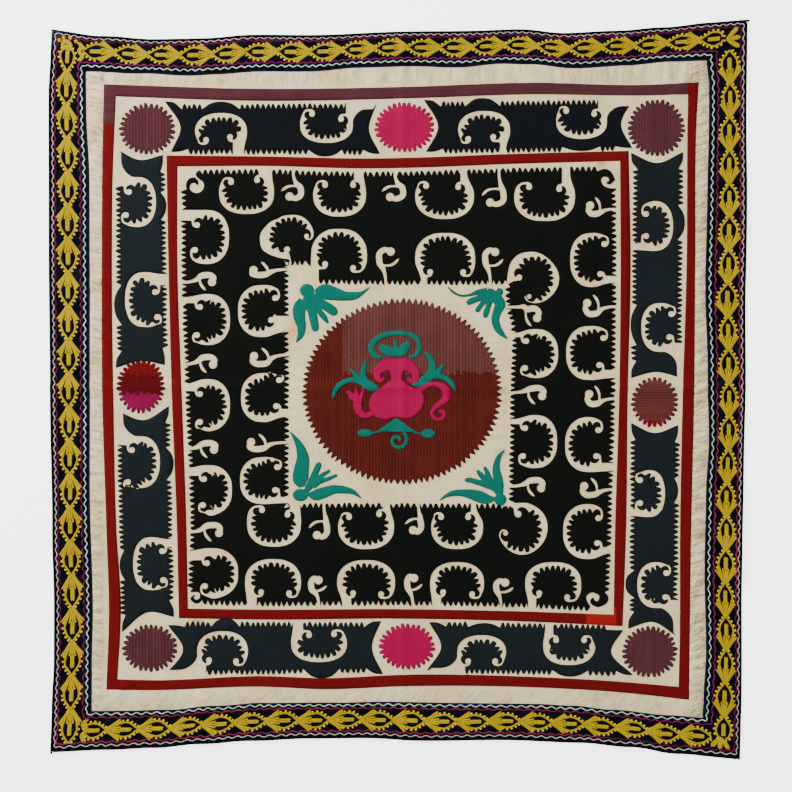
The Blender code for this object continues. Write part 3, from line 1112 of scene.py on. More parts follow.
def dye_lots(tree, place, throw, lots, dark, light):
    """Other dyes inside some boxes, given by tape readings, with a ragged edge between columns."""
    parts = node(tree, "SeparateXYZ", i0=place).outputs
    ragged = reckon(tree, "MULTIPLY_ADD", throw, 9 * MM, parts[1])
    for (left, top, right, bottom), lot_dark, lot_light in lots:
        (x0, y1), (x1, y0) = tape(left, top), tape(right, bottom)
        inside = reckon(tree, "MULTIPLY", reckon(tree, "GREATER_THAN", parts[0], x0),
                        reckon(tree, "LESS_THAN", parts[0], x1))
        inside = reckon(tree, "MULTIPLY", inside, reckon(tree, "GREATER_THAN", ragged, y0))
        inside = reckon(tree, "MULTIPLY", inside, reckon(tree, "LESS_THAN", ragged, y1))
        dark = blend_colours(tree, inside, dark, lot_dark)
        light = blend_colours(tree, inside, light, lot_light)
    return dark, light


def yarn_finish(name, dark, light, column=7.0 * MM, pitch=5.0 * MM, lean=1.0, depth=0.12, rows=False,
                cloud=60 * MM, lots=()):
    """Couched yarn: dashes in columns and clouds from the dark dye to the light one, with painted shade and
    highlight that follow the relief of the dashes and the columns.
    """
    made, tree, shader, place = start_finish(name, 0.88, 0.03)
    dashes, column_swell, throw = couching(tree, place, column, pitch, lean, rows)
    fleck = cloudy(tree, place, 2.4 * MM, 4.0)
    dyed = cloudy(tree, place, cloud, 4.0)
    # Painted shade and highlight: the colour follows the dashes as the bump does, so raised threads are
    # lighter and grooves darker
    share = reckon(tree, "MULTIPLY_ADD", dashes, depth, reckon(tree, "MULTIPLY", fleck, 0.5 + depth * 0.8))
    share = reckon(tree, "MULTIPLY_ADD", dyed, 0.5, share)
    # Painted highlight on the crown of each column and painted shade at its sides
    share = reckon(tree, "MULTIPLY_ADD", column_swell, depth * 0.6, share)
    share = reckon(tree, "MULTIPLY_ADD", throw, depth * 0.3, share)
    middle = 0.5 + depth * 1.35
    share = steps(tree, reckon(tree, "SUBTRACT", share, middle - 0.5), (0.12, 0.0), (0.88, 1.0))
    if lots:
        dark, light = dye_lots(tree, place, throw, lots, dark, light)
    colour = blend_colours(tree, share, dark, light)
    tree.links.new(colour, shader.inputs["Base Color"])
    height = reckon(tree, "MULTIPLY_ADD", column_swell, 1.4, dashes)
    height = reckon(tree, "MULTIPLY_ADD", fleck, 0.8, height)
    raise_threads(tree, shader, height, (0.10 + 0.30 * depth) * MM)
    return made


def line_finish(name, dark, light, bead=3.0 * MM):
    """A line of chain stitch: small beads of light and dark along the thread."""
    made, tree, shader, place = start_finish(name, 0.88, 0.02)
    fleck = cloudy(tree, place, bead, 2.0)
    colour = blend_colours(tree, steps(tree, fleck, (0.35, 0.0), (0.65, 1.0)), dark, light)
    tree.links.new(colour, shader.inputs["Base Color"])
    raise_threads(tree, shader, fleck, 0.3 * MM)
    return made


RED = (dye(76, 2, 5), dye(100, 6, 8))
PLUM = (dye(42, 14, 19), dye(84, 42, 46))
MAROON = (dye(38, 5, 3), dye(88, 27, 18))
MAUVE = (dye(48, 17, 16), dye(98, 54, 49))
WINE = (dye(96, 0, 42), dye(122, 2, 60))
DARK_RED = (dye(60, 0, 5), dye(80, 3, 8))
# Each lot: the tape readings of its left, top, right and bottom, and its two dyes
DISC_LOTS = (((686, 560, 1020, 742), *MAUVE),)
LEFT_ROSETTE_LOTS = (((200, 746, 400, 782), *DARK_RED), ((200, 782, 400, 900), *WINE))
RIGHT_ROSETTE_LOTS = (((1282, 836, 1340, 900), dye(98, 0, 14), dye(124, 4, 22)),)
BAND_LOTS = (((1172, 1210, 1232, 1260), dye(122, 12, 16), dye(142, 24, 22)),)
YARN = {
    "red": yarn_finish("red_yarn", *RED, 9 * MM, 3 * MM, 0.0, 0.14, lots=BAND_LOTS),
    "plum_band": yarn_finish("plum_band_yarn", *PLUM, 3.6 * MM, 4 * MM, 1.0, 0.55, rows=True),
    "plum": yarn_finish("plum_yarn", *PLUM, 6.4 * MM, 5.4 * MM, 1.0, 0.65),
    "plum_rows": yarn_finish("plum_rows_yarn", dye(50, 13, 14), dye(98, 46, 42), 5.6 * MM, 6.4 * MM,
                             1.0, 0.65, rows=True, lots=RIGHT_ROSETTE_LOTS),
    "pink": yarn_finish("pink_yarn", dye(132, 0, 50), dye(150, 0, 62)),
    "slate": yarn_finish("slate_yarn", dye(9, 14, 15), dye(21, 28, 31), depth=0.2),
    "night": yarn_finish("night_yarn", dye(3, 5, 7), dye(11, 14, 18), depth=0.25),
    "black": yarn_finish("black_yarn", dye(1, 3, 1), dye(7, 9, 5), depth=0.2),
    "disc": yarn_finish("disc_yarn", *MAROON, 6.4 * MM, 4.6 * MM, 1.0, 0.6, lots=DISC_LOTS),
    "rosette_red": yarn_finish("rosette_red_yarn", *RED, 7.0 * MM, 6.4 * MM, -1.0, 0.3,
                               lots=LEFT_ROSETTE_LOTS),
    "teal": yarn_finish("teal_yarn", dye(0, 80, 67), dye(0, 100, 85)),
}
DARK_LINE = line_finish("dark_line", dye(1, 2, 3), dye(8, 8, 13))
PURPLE_LINE = line_finish("purple_line", dye(30, 8, 26), dye(52, 18, 44))
PINK_LINE = line_finish("pink_line", dye(96, 0, 34), dye(134, 4, 56))
print("yarns:", sorted(YARN))

# %% [markdown]
# ## The red and plum bands
#
# Two narrow bands frame the design. Their sides were ruled by hand, so they bow a little. Each is one
# closed frame: an outer outline with an inner one as its hole. The upper side of the outer band was
# stitched in plum when the red ran out, so those faces take the plum yarn.

# %% Stitch the two bands
# Each side is a list of readings on its edge, from corner to corner, clockwise from the upper left
OUTER_BAND = {
    "outer": (
        ((208, 169), (528, 178), (814, 174), (1056, 166), (1292, 170), (1397, 165)),
        ((1397, 165), (1393, 236), (1390, 528), (1388, 798), (1382, 1056), (1379, 1292), (1378, 1399)),
        ((1378, 1399), (1224, 1383), (1056, 1374), (814, 1372), (646, 1378), (528, 1373), (302, 1380),
         (213, 1379)),
        ((213, 1379), (218, 1224), (213, 1056), (205, 798), (204, 528), (205, 336), (208, 169)),
    ),
    "inner": (
        ((232, 193), (528, 202), (814, 197), (1056, 189), (1292, 191), (1376, 189)),
        ((1376, 189), (1375, 236), (1373, 528), (1365, 798), (1360, 1056), (1359, 1292), (1357, 1373)),
        ((1357, 1373), (1224, 1362), (1056, 1353), (814, 1349), (646, 1356), (528, 1352), (302, 1360),
         (235, 1358)),
        ((235, 1358), (242, 1224), (233, 1056), (227, 798), (224, 528), (226, 336), (232, 193)),
    ),
}
INNER_BAND = {
    "outer": (
        ((333, 311), (528, 313), (730, 317), (1056, 307), (1257, 302)),
        ((1257, 302), (1261, 528), (1255, 798), (1252, 1056), (1245, 1252)),
        ((1245, 1252), (1056, 1243), (798, 1237), (528, 1239), (358, 1236)),
        ((358, 1236), (354, 1056), (344, 798), (337, 528), (333, 311)),
    ),
    "inner": (
        ((355, 333), (528, 332), (730, 337), (1056, 327), (1240, 322)),
        ((1240, 322), (1241, 528), (1238, 798), (1230, 1056), (1227, 1229)),
        ((1227, 1229), (1056, 1223), (798, 1218), (528, 1219), (376, 1217)),
        ((376, 1217), (373, 1056), (364, 798), (355, 528), (355, 333)),
    ),
}


def frame_outline(sides):
    """The four soft sides of a frame, joined at its corners."""
    return [spot for stops in sides for spot in soft_line(stops, 8.0)[:-1]]


def plum_or_red(centre):
    """Plum along the upper side and a little way down the left one, red elsewhere."""
    x, y = centre[0], centre[1]
    upper = y > TAPE_TOP - 212 * MM and x < TAPE_LEFT + 1376 * MM
    left = x < TAPE_LEFT + 236 * MM and y > TAPE_TOP - 248 * MM
    return 1 if upper or left else 0


for name, band, yarns, finish_of in (
        ("outer_band", OUTER_BAND, [YARN["red"], YARN["plum_band"]], plum_or_red),
        ("inner_band", INNER_BAND, [YARN["red"]], None)):
    outer, inner = frame_outline(band["outer"]), frame_outline(band["inner"])
    stitch(name, [outer], [inner], yarns, finish_of, grain=7 * MM)

# %% [markdown]
# ## Rosettes and the great disc
#
# Eight rosettes stand at the corners and the middles of the vine border, and one great disc fills the
# heart of the cloth. Each is an oval with a ring of teeth. The outline is the same row of teeth as
# everywhere, run round an oval.

# %% Stitch the rosettes
# Columns: place right and down, half width and half height to the teeth's roots, all in millimetres
ROSETTES = {
    "upper_left": ((295, 258), (46, 41), "plum"),
    "upper_middle": ((809, 255), (50, 40), "pink"),
    "upper_right": ((1312, 256), (47, 47), "plum"),
    "middle_left": ((282, 772), (38, 45), "rosette_red"),
    "middle_right": ((1309, 804), (37, 41), "plum_rows"),
    "lower_left": ((300, 1296), (45, 37), "plum"),
    "lower_middle": ((814, 1293), (46, 36), "pink"),
    "lower_right": ((1299, 1303), (45, 41), "plum"),
}
DISC_TOOTH = ((0.0, 0.0), (0.22, 0.5), (0.38, 0.9), (0.5, 1.0), (0.62, 0.88), (0.80, 0.46))


def toothed_oval(centre, size, pitch, height, tooth=FINGER):
    ring = dot(*centre, *size, count=72)
    return toothed(ring + ring[:1], pitch, height, 1, tooth)[:-1]


for place_name, (centre, size, yarn) in ROSETTES.items():
    outline = toothed_oval(centre, size, 9.4, 10.5)
    line = PINK_LINE if yarn == "pink" else PURPLE_LINE
    stitch("rosette_" + place_name, [outline], (), [YARN[yarn]], grain=7 * MM, line=line,
           line_width=1.3 * MM)

# %% Stitch the great disc
DISC_MIDDLE = (804, 783)
DISC_SIZE = (190, 176)
disc_outline = toothed_oval(DISC_MIDDLE, DISC_SIZE, 11.6, 10.5, DISC_TOOTH)
stitch("great_disc", [disc_outline], (), [YARN["disc"]], grain=7 * MM, line=PURPLE_LINE,
       line_width=1.3 * MM)

# %% [markdown]
# ## Curls
#
# The dark grounds are pierced by curls of bare cream cloth. A curl is a channel that comes in from the
# edge, runs round in a C and ends in two small hooks with a bulb. Its outer side is smooth and its inner
# side is a row of dark teeth. Each curl is drawn in a frame of its own, with one axis along the edge and
# one into the ground, and then turned to face up, down, left or right. So one recipe makes all of them,
# and each row of the tables says only where a curl sits and how large it is.

# %% One curl
CURL_WALL = 9.0
CURL_TOOTH = 10.0
CURL_PITCH = 10.8
BULB = 6.0
OUTSIDE = 26.0


def facing(opening, edge):
    """A function that turns a place along the edge and a depth from it into tape readings."""
    sign = -1.0 if opening in ("down", "right") else 1.0
    if opening in ("up", "down"):
        return lambda along, depth: (along, edge + depth * sign)
    return lambda along, depth: (edge + depth * sign, along)


def curl(turned, low, high, deep, stem, loose_bulb, stem_bulb, flare):
    """The cream channel of one curl: its ring and its two bulbs.

    low and high are its limits along the edge and deep is how far it reaches in. stem gives the
    inner and the outer side of the channel at the edge, and each bulb a place along and a depth.
    """
    middle, wide = (low + high) / 2, (high - low) / 2
    hand = 1.0 if stem[1] > middle else -1.0
    waist = deep * 0.47
    inner, outer = (stem[0] - middle) * hand, (stem[1] - middle) * hand
    (bx, by), (sx, sy) = [((u - middle) * hand, v) for u, v in (loose_bulb, stem_bulb)]
    t = CURL_WALL + CURL_TOOTH
    climb = wide - outer
    shin = (-wide + 9.0 + bx - 15.0) / 2
    belly, low_belly = wide * 0.74, waist + (deep - waist) * 0.74
    hip, low_hip = wide * 0.94, waist + (deep - waist) * 0.42
    outside_line = soft_line([
        (outer + flare, 0.0), (outer + flare * 0.38 + climb * 0.08, deep * 0.05),
        (outer + flare * 0.15 + climb * 0.38, deep * 0.17), (wide - climb * 0.08, waist * 0.74),
        (wide, waist), (hip, low_hip), (belly, low_belly), (wide * 0.40, deep - 2.2), (0.0, deep),
        (-wide * 0.40, deep - 2.2), (-belly, low_belly), (-hip, low_hip), (-wide, waist),
        (-wide + 1.6, by + 8.0), (-wide + 4.8, by), ((-wide + bx) / 2 - 3.4, by - 6.8), (bx - 7.0, by - 9.8),
        (bx - 0.6, by - 9.2), (bx + 5.0, by - 4.8), (bx + 6.0, by + 1.0),
    ], 3.0)
    loose_hook = [
        (bx - 1.0, by - 1.0), (bx - 4.4, by - 4.6), (bx - 9.4, by - 5.4), (shin + 0.6, by - 2.0),
        (shin - 0.6, by + 3.6), (shin + 3.0, by + 9.0), (bx - 10.0, by + 10.6),
    ]
    stem_hook = [
        (sx + 10.6, sy + 11.4), (sx + 13.6, sy + 8.0), (sx + 14.6, sy + 3.0), (sx + 12.4, sy - 2.4),
        (sx + 8.4, sy - 5.6), (sx + 4.0, sy - 5.4), (sx + 0.6, sy - 1.0),
    ]
    roots = soft_line([
        (bx - 10.0, by + 10.6), (-wide + t, waist + 3.0), (-belly + t * 0.66, low_belly - t * 0.66),
        (-wide * 0.30, deep - t), (wide * 0.30, deep - t), (belly - t * 0.66, low_belly - t * 0.66),
        (wide - t - 2.5, waist + 3.0), (sx + 10.6, sy + 11.4),
    ], 3.0)
    teeth = toothed(roots, CURL_PITCH, CURL_TOOTH, -1, FINGER)
    base = [
        (sx - 5.2, sy - 2.6), (min(sx - 3.6, inner - 4.0), sy - 7.2), (min(sx + 0.5, inner - 1.0), sy - 9.8),
        (inner - 0.3, sy - 10.8), (inner, -OUTSIDE), (outer + flare * 1.4, -OUTSIDE),
    ]
    ring = outside_line + soft_line(loose_hook, 2.5)[:-1] + teeth + soft_line(stem_hook, 2.5)[1:] + base
    parts = [ring, dot(bx, by, BULB), dot(sx, sy, BULB)]
    return [[turned(middle + u * hand, v) for u, v in part] for part in parts]


def free_curl(wall, loose_hook, roots, stem_hook, base, bulbs):
    """A curl in no straight edge: the same parts in the same order, as readings of the tapes."""
    teeth = toothed(soft_line(roots, 3.0), CURL_PITCH, CURL_TOOTH, -1, FINGER)
    ring = soft_line(wall, 3.0) + soft_line(loose_hook, 2.5)[1:-1] + teeth
    ring += soft_line(stem_hook, 2.5)[1:] + base
    return [ring] + [dot(*bulb) for bulb in bulbs]


def place_curl(opening, edge, low, high, end, stem, loose_bulb, stem_bulb, flare=0.0):
    """A curl that faces a straight edge, with all its places read off the tapes."""
    deep, loose, stemmed = [abs(v - edge) for v in (end, loose_bulb[1], stem_bulb[1])]
    loose_bulb, stem_bulb = (loose_bulb[0], loose), (stem_bulb[0], stemmed)
    return curl(facing(opening, edge), low, high, deep, stem, loose_bulb, stem_bulb, flare)


sample = place_curl("up", 350, 438, 548, 428, (518, 542), (462, 364), (514, 360))
print("a curl's ring has", len(sample[0]), "points")

# %% One small hook
HOOK_STEM = 5.6
HOOK_BULB = 8.4


def hook(opening, edge, stem, side, end, bulb):
    """A small hook: a stroke that swells round to its bulb, and a thin horn on the other side."""
    turned = facing(opening, edge)
    hand = 1.0 if side > stem else -1.0
    wide, deep = abs(side - stem), abs(end - edge)
    bu, bv = (bulb[0] - stem) * hand, abs(bulb[1] - edge)
    f = min(1.0, bv / 59.0)
    stroke = brush([
        (0.0, -OUTSIDE, HOOK_STEM), (0.0, 2.0, HOOK_STEM), (wide * 0.10, bv - 45.0 * f, HOOK_STEM + 1.0),
        (wide * 0.28, bv - 35.0 * f, 9.6), (wide - 7.6, bv - 25.0 * f, 12.0),
        (wide - 6.0, bv - 14.0 * f, 12.4), (wide - 6.4, bv - 5.0 * f, 12.0),
        ((wide - 6.0 + bu) / 2 + 1.0, min(bv + 3.6, deep - 5.6), 11.0),
        (bu + 2.6, min(bv + 2.4, deep - 6.0), 9.0),
    ])
    horn = brush([
        (wide * 0.45, bv - 29.0 * f, 7.0), (bu + 7.0, bv - 29.0 * f, 4.0), (bu - 1.0, bv - 28.0 * f, 5.0),
        (bu - 8.0, bv - 24.0 * f, 5.6), (bu - 13.0, bv - 19.0 * f, 4.6), (bu - 15.6, bv - 15.6 * f, 2.0),
    ])
    parts = [stroke, horn, dot(bu, bv, min(HOOK_BULB, deep - bv))]
    return [[turned(stem + u * hand, v) for u, v in part] for part in parts]


print("a hook has", len(hook("up", 350, 587, 608, 404, (579, 393))), "parts")

# %% [markdown]
# ## The black field
#
# The black field is a broad square frame with toothed edges. Curls come in from its outer edge and from
# its inner one, with small hooks between them, and a hook in each corner. It is stitched in one piece:
# the frame is the shape, and the curls, the hooks and the middle square are its holes.

# %% Where the large curls of the field sit
# Columns: limits along the edge, far limit, inner and outer side of the stem, loose bulb, stem bulb
FIELD_CURLS = {
    ("up", 350): (
        (438, 548, 428, (518, 544), (462, 364), (514, 360)),
        (626, 732, 433, (708, 727), (650, 370), (706, 370)),
        (830, 948, 438, (921, 934), (852, 372), (916, 374)),
        (1028, 1150, 442, (1124, 1140), (1058, 374), (1118, 378)),
    ),
    ("left", 374): (
        (420, 528, 458, (441, 420), (500, 390), (450, 394)),
        (588, 690, 460, (606, 594), (670, 394), (614, 400)),
        (758, 862, 460, (782, 768), (844, 400), (788, 400)),
        (930, 1030, 464, (951, 936), (1010, 406), (958, 408)),
        (1096, 1196, 476, (1120, 1102), (1172, 410), (1126, 414)),
    ),
    ("right", 1220): (
        (466, 574, 1140, (552, 566), (488, 1208), (548, 1200)),
        (652, 760, 1132, (740, 756), (676, 1206), (730, 1198)),
        (834, 944, 1130, (926, 942), (860, 1196), (912, 1192)),
        (1008, 1118, 1126, (1094, 1106), (1036, 1196), (1086, 1194)),
    ),
    ("down", 1204): (
        (490, 602, 1118, (513, 494), (578, 1186), (522, 1184)),
        (674, 790, 1120, (702, 684), (762, 1188), (706, 1186)),
        (860, 968, 1124, (882, 864), (944, 1188), (886, 1184)),
        (1050, 1162, 1124, (1072, 1056), (1134, 1194), (1078, 1186)),
    ),
}
INNER_CURLS = {
    ("down", 560): (
        (622, 734, 458, (637, 618), (706, 536), (650, 528)),
        (830, 950, 466, (854, 842), (926, 544), (860, 544)),
    ),
    ("right", 566): (
        (570, 674, 476, (632, 664), (596, 550), (640, 542)),
        (746, 844, 482, (818, 834), (760, 558), (812, 552)),
        (914, 1008, 480, (994, 1006), (934, 554), (980, 550)),
    ),
    ("left", 1030): (
        (658, 756, 1116, (674, 666), (736, 1050), (682, 1052)),
        (830, 936, 1114, (848, 838), (912, 1046), (856, 1050)),
    ),
    ("up", 1014): (
        (676, 788, 1098, (766, 780), (698, 1034), (758, 1028)),
        (862, 966, 1098, (942, 952), (882, 1034), (936, 1034)),
    ),
}
field_holes = []
for table in (FIELD_CURLS, INNER_CURLS):
    for (opening, edge), rows in table.items():
        for row in rows:
            field_holes += place_curl(opening, edge, *row)
print("large curls:", len(field_holes) // 3)

# %% Curls at the corners of the middle square, and the small hooks
# Each has its outer wall, loose hook, tooth roots, stem hook and base, and then its two bulbs
SLANTING_CURLS = (
    (
        ((580, 528), (579, 520), (566, 517), (550, 513), (536, 507), (525, 499), (520, 482), (521, 467),
         (530, 454), (542, 443), (554, 438), (566, 432), (580, 430), (597, 431), (612, 439), (623, 453),
         (627, 466), (625, 476), (620, 480), (613, 479), (609, 475), (611, 470)),
        ((617, 473), (618, 478), (621, 475), (622, 468), (620, 462), (615, 458), (611, 458)),
        ((611, 458), (597, 447), (580, 444), (567, 446), (556, 453), (550, 466), (548, 476),
         (550, 487), (556, 494)),
        ((556, 494), (557, 498), (560, 504), (566, 505), (569, 502), (570, 498)),
        [(578, 507), (582, 520), (583, 528)],
        ((613, 472, 4.8), (574, 499, 6.2)),
    ),
    (
        ((1004, 570), (1012, 568), (1014, 558), (1016, 543), (1020, 528), (1028, 516), (1039, 508),
         (1054, 504), (1070, 504), (1086, 510), (1100, 521), (1112, 536), (1118, 553), (1115, 573),
         (1107, 587), (1095, 598), (1080, 605), (1065, 606), (1054, 602), (1049, 595), (1051, 590)),
        ((1056, 598), (1055, 600), (1059, 603), (1067, 603), (1071, 598), (1073, 596)),
        ((1073, 596), (1082, 590), (1090, 580), (1097, 568), (1097, 550), (1093, 534), (1085, 526),
         (1070, 522), (1053, 526), (1043, 538)),
        ((1043, 538), (1039, 536.5), (1032, 538), (1028, 545), (1029, 552), (1033, 555), (1036, 552)),
        [(1034, 562), (1028, 562), (1018, 567), (1011, 572), (1004, 576)],
        ((1058, 593, 4.8), (1038, 555, 6.2)),
    ),
    (
        ((1008, 996), (1022, 1003), (1028, 1005.4), (1040, 1005.6), (1054, 1006), (1067, 1011), (1079, 1019),
         (1089, 1031), (1094, 1044), (1095, 1058), (1092, 1073), (1083, 1089), (1070, 1101), (1055, 1108),
         (1039, 1109), (1024, 1104), (1011, 1094), (1002, 1082), (998, 1071), (1000, 1063), (1007, 1058),
         (1013, 1061)),
        ((1009, 1064), (1006, 1062), (1002, 1067), (1001, 1074), (1005, 1080), (1010, 1083), (1016, 1083)),
        ((1016, 1083), (1026, 1089), (1036, 1091), (1045, 1094), (1055, 1093), (1064, 1087), (1071, 1077),
         (1074, 1066), (1074, 1055), (1072, 1043), (1067, 1033), (1058, 1025)),
        ((1058, 1025), (1055, 1020), (1051, 1016), (1043, 1014), (1037, 1016), (1034, 1021), (1037, 1025)),
        [(1029, 1031), (1027.6, 1022), (1027, 1016), (1020, 1012), (1006, 1012)],
        ((1011, 1066, 5.2), (1036, 1028, 6.8)),
    ),
)
# Columns: stem, side limit, far limit and bulb
HOOKS = {
    ("up", 350): ((587, 608, 404, (579, 393)), (790, 812, 408, (780, 394)), (998, 1013, 414, (980, 405))),
    ("left", 374): (
        (564, 544, 434, (564, 424)), (728, 708, 436, (729, 426)), (898, 880, 438, (899, 428)),
        (1064, 1044, 446, (1066, 438)),
    ),
    ("right", 1220): (
        (419, 434, 1168, (411, 1180)), (614, 634, 1164, (606, 1174)), (798, 814, 1168, (788, 1178)),
        (979, 996, 1156, (972, 1168)),
    ),
    ("down", 1204): (
        (637, 616, 1150, (637, 1160)), (825, 808, 1144, (828, 1156)), (1001, 986, 1156, (1010, 1165)),
    ),
    ("down", 560): ((771, 752, 494, (781, 503)), (980, 964, 494, (990, 504))),
    ("right", 568): ((539, 556, 496, (540, 507)), (710, 734, 496, (712, 508)), (885, 904, 492, (884, 502))),
    ("left", 1028): (
        (614, 611, 1084, (636, 1074)), (785, 770, 1098, (792, 1084)), (972, 954, 1092, (976, 1082)),
    ),
    ("up", 1014): ((648, 660, 1082, (634, 1070)), (837, 848, 1072, (826, 1060))),
}
for parts in SLANTING_CURLS:
    field_holes += free_curl(*parts)
field_holes += place_curl("up", 1006, 494, 602, 1093, (580, 600), (524, 1020), (575, 1029))
for (opening, edge), rows in HOOKS.items():
    for row in rows:
        field_holes += hook(opening, edge, *row)
print("holes in the field:", len(field_holes))

# %% The hooks in the outer corners
# Each is the edge of the bare cloth: in through a narrow neck, round the dark crescent and out again
CORNER_HOOKS = (
    ((389, 346), (391, 356), (396, 361), (397, 367), (395, 371), (392, 368), (388, 366), (384, 367),
     (380, 372), (380, 377), (383, 382), (392, 386), (401, 384), (407, 377), (408, 369), (405, 363),
     (399, 359), (394, 354), (390, 346)),
    ((1244, 379), (1230, 377), (1218, 376), (1208, 372), (1203, 365), (1202, 359), (1206, 354),
     (1212, 354), (1217, 357), (1218, 361), (1212, 366), (1219, 369), (1224, 366), (1229, 361), (1242, 358)),
    ((1180, 1226), (1181, 1213), (1177, 1207), (1173, 1199), (1173, 1192), (1178, 1187), (1185, 1185),
     (1192, 1187), (1198, 1191), (1198, 1197), (1195, 1202), (1190, 1201), (1186, 1195), (1182, 1198),
     (1180, 1203), (1182, 1208), (1190, 1226)),
    ((372, 1186), (383, 1184), (390, 1184), (396, 1184), (400, 1188), (400, 1193), (398, 1197), (393, 1199),
     (389, 1197), (388, 1194), (391, 1190), (387, 1190), (383, 1194), (372, 1200)),
)
field_holes += [soft_line(stops, 1.6) for stops in CORNER_HOOKS]
print("holes with the corners:", len(field_holes))

# %% Stitch the field
FIELD_PITCH = 11.4
FIELD_TOOTH = 10.0
FIELD_EDGE = (
    ((405, 349), (528, 349), (730, 354), (900, 350), (1056, 345), (1194, 343)),
    ((1222, 387), (1223, 528), (1220, 798), (1213, 1056), (1209, 1184)),
    ((1168, 1212), (1056, 1206), (798, 1201), (528, 1202), (404, 1200)),
    ((386, 1177), (390, 1056), (381, 798), (373, 528), (373, 379)),
)
SQUARE_EDGE = (
    ((637, 558), (798, 560), (1010, 560)),
    ((1020, 574), (1021, 610), (1029, 640), (1030, 788), (1027, 1004)),
    ((1027, 1018), (798, 1016), (568, 1016)),
    ((568, 1016), (568, 788), (568, 522)),
    ((570, 521), (610, 521)),
)
NOTCH_END = [(618, 531), (637, 542)]
ROUND_CORNERS = (
    ((1194, 343), (1200, 340), (1209, 338), (1219, 341), (1225, 348), (1229, 357), (1231, 368), (1233, 378),
     (1228, 383), (1222, 387)),
    ((1209, 1184), (1214, 1189), (1217, 1197), (1213, 1206), (1204, 1212), (1195, 1214), (1186, 1211),
     (1181, 1208), (1180, 1213), (1176, 1220), (1172, 1222), (1168, 1212)),
    ((404, 1200), (400, 1205), (392, 1207), (386, 1204), (382, 1200), (381, 1194), (381, 1186), (382, 1181),
     (386, 1177)),
    ((373, 379), (372, 369), (375, 361), (381, 356), (388, 355), (392, 355), (391, 350), (394, 344),
     (398, 341), (402, 343), (405, 349)),
)


def toothed_frame(sides, hand, corners=()):
    """A frame of toothed sides, with a smooth bend after each where corners are given."""
    outline = []
    for i, stops in enumerate(sides):
        outline += toothed(soft_line(stops, 10.0), FIELD_PITCH, FIELD_TOOTH, hand)
        if corners:
            outline += soft_line(corners[i], 3.0)[1:-1]
    return outline


field_shape = toothed_frame(FIELD_EDGE, 1, ROUND_CORNERS)
square_hole = toothed_frame(SQUARE_EDGE, -1) + NOTCH_END
stitch("black_field", [field_shape], [square_hole] + field_holes, [YARN["black"]], grain=9 * MM,
       line=DARK_LINE, line_width=1.4 * MM)

# %% [markdown]
# ## The vine border
#
# Between the rosettes lie eight slate blue slabs. Each has horns at both ends that hug the next rosette,
# toothed long sides, two curls that come in from either side, and a smooth bulge where a curl's back
# comes near the other side. One recipe draws them all, along the border and across it.

# %% One slab of the vine
SLAB_PITCH = 10.4
SLAB_TOOTH = 10.0
HORN = 34.0


def slab(turned, low_root, high_root, starts, ends, low_bulge, high_bulge):
    """A slab of the vine: low is its outer or left side, and high is the other one.

    starts and ends each hold the horn's tip on the low side, the arc's middle, and the tip on the
    high side. A bulge is where it begins and ends and how far it reaches.
    """
    first, last = starts[0][0], ends[0][0]

    def level(root, along):
        return root[0] + (root[1] - root[0]) * (along - first) / (last - first)

    def side(tip, root, far_tip, bulge, hand):
        a, b = tip[0] + HORN, far_tip[0] - HORN
        path = [(tip[0] + HORN * 0.5, tip[1] + (level(root, a) - tip[1]) * 0.12), (a, level(root, a))]
        outline = soft_line([tip, *path], 3.0)[:-1]
        begin, end, peak = bulge
        outline += toothed([(a, level(root, a)), (begin, level(root, begin))], SLAB_PITCH, SLAB_TOOTH, hand)
        third = (end - begin) / 3
        hump = [
            (begin, level(root, begin)), (begin + third * 0.7, peak), (begin + third * 2.3, peak),
            (end, level(root, end)),
        ]
        outline += soft_line(hump, 3.0)[1:-1]
        outline += toothed([(end, level(root, end)), (b, level(root, b))], SLAB_PITCH, SLAB_TOOTH, hand)
        back = [(far_tip[0] - HORN * 0.5, far_tip[1] + (level(root, b) - far_tip[1]) * 0.12), far_tip]
        return outline + soft_line([(b, level(root, b)), *back], 3.0)[1:]

    outline = side(starts[0], low_root, ends[0], low_bulge, 1)
    outline += soft_line(ends, 3.0)[1:-1]
    outline += side(starts[2], high_root, ends[2], high_bulge, -1)[::-1]
    outline += soft_line(starts[::-1], 3.0)[1:-1]
    return [turned(u, v) for u, v in outline]


def across(u, v):
    return (u, v)


def downwards(u, v):
    return (v, u)


print("a way down:", downwards(1, 2))

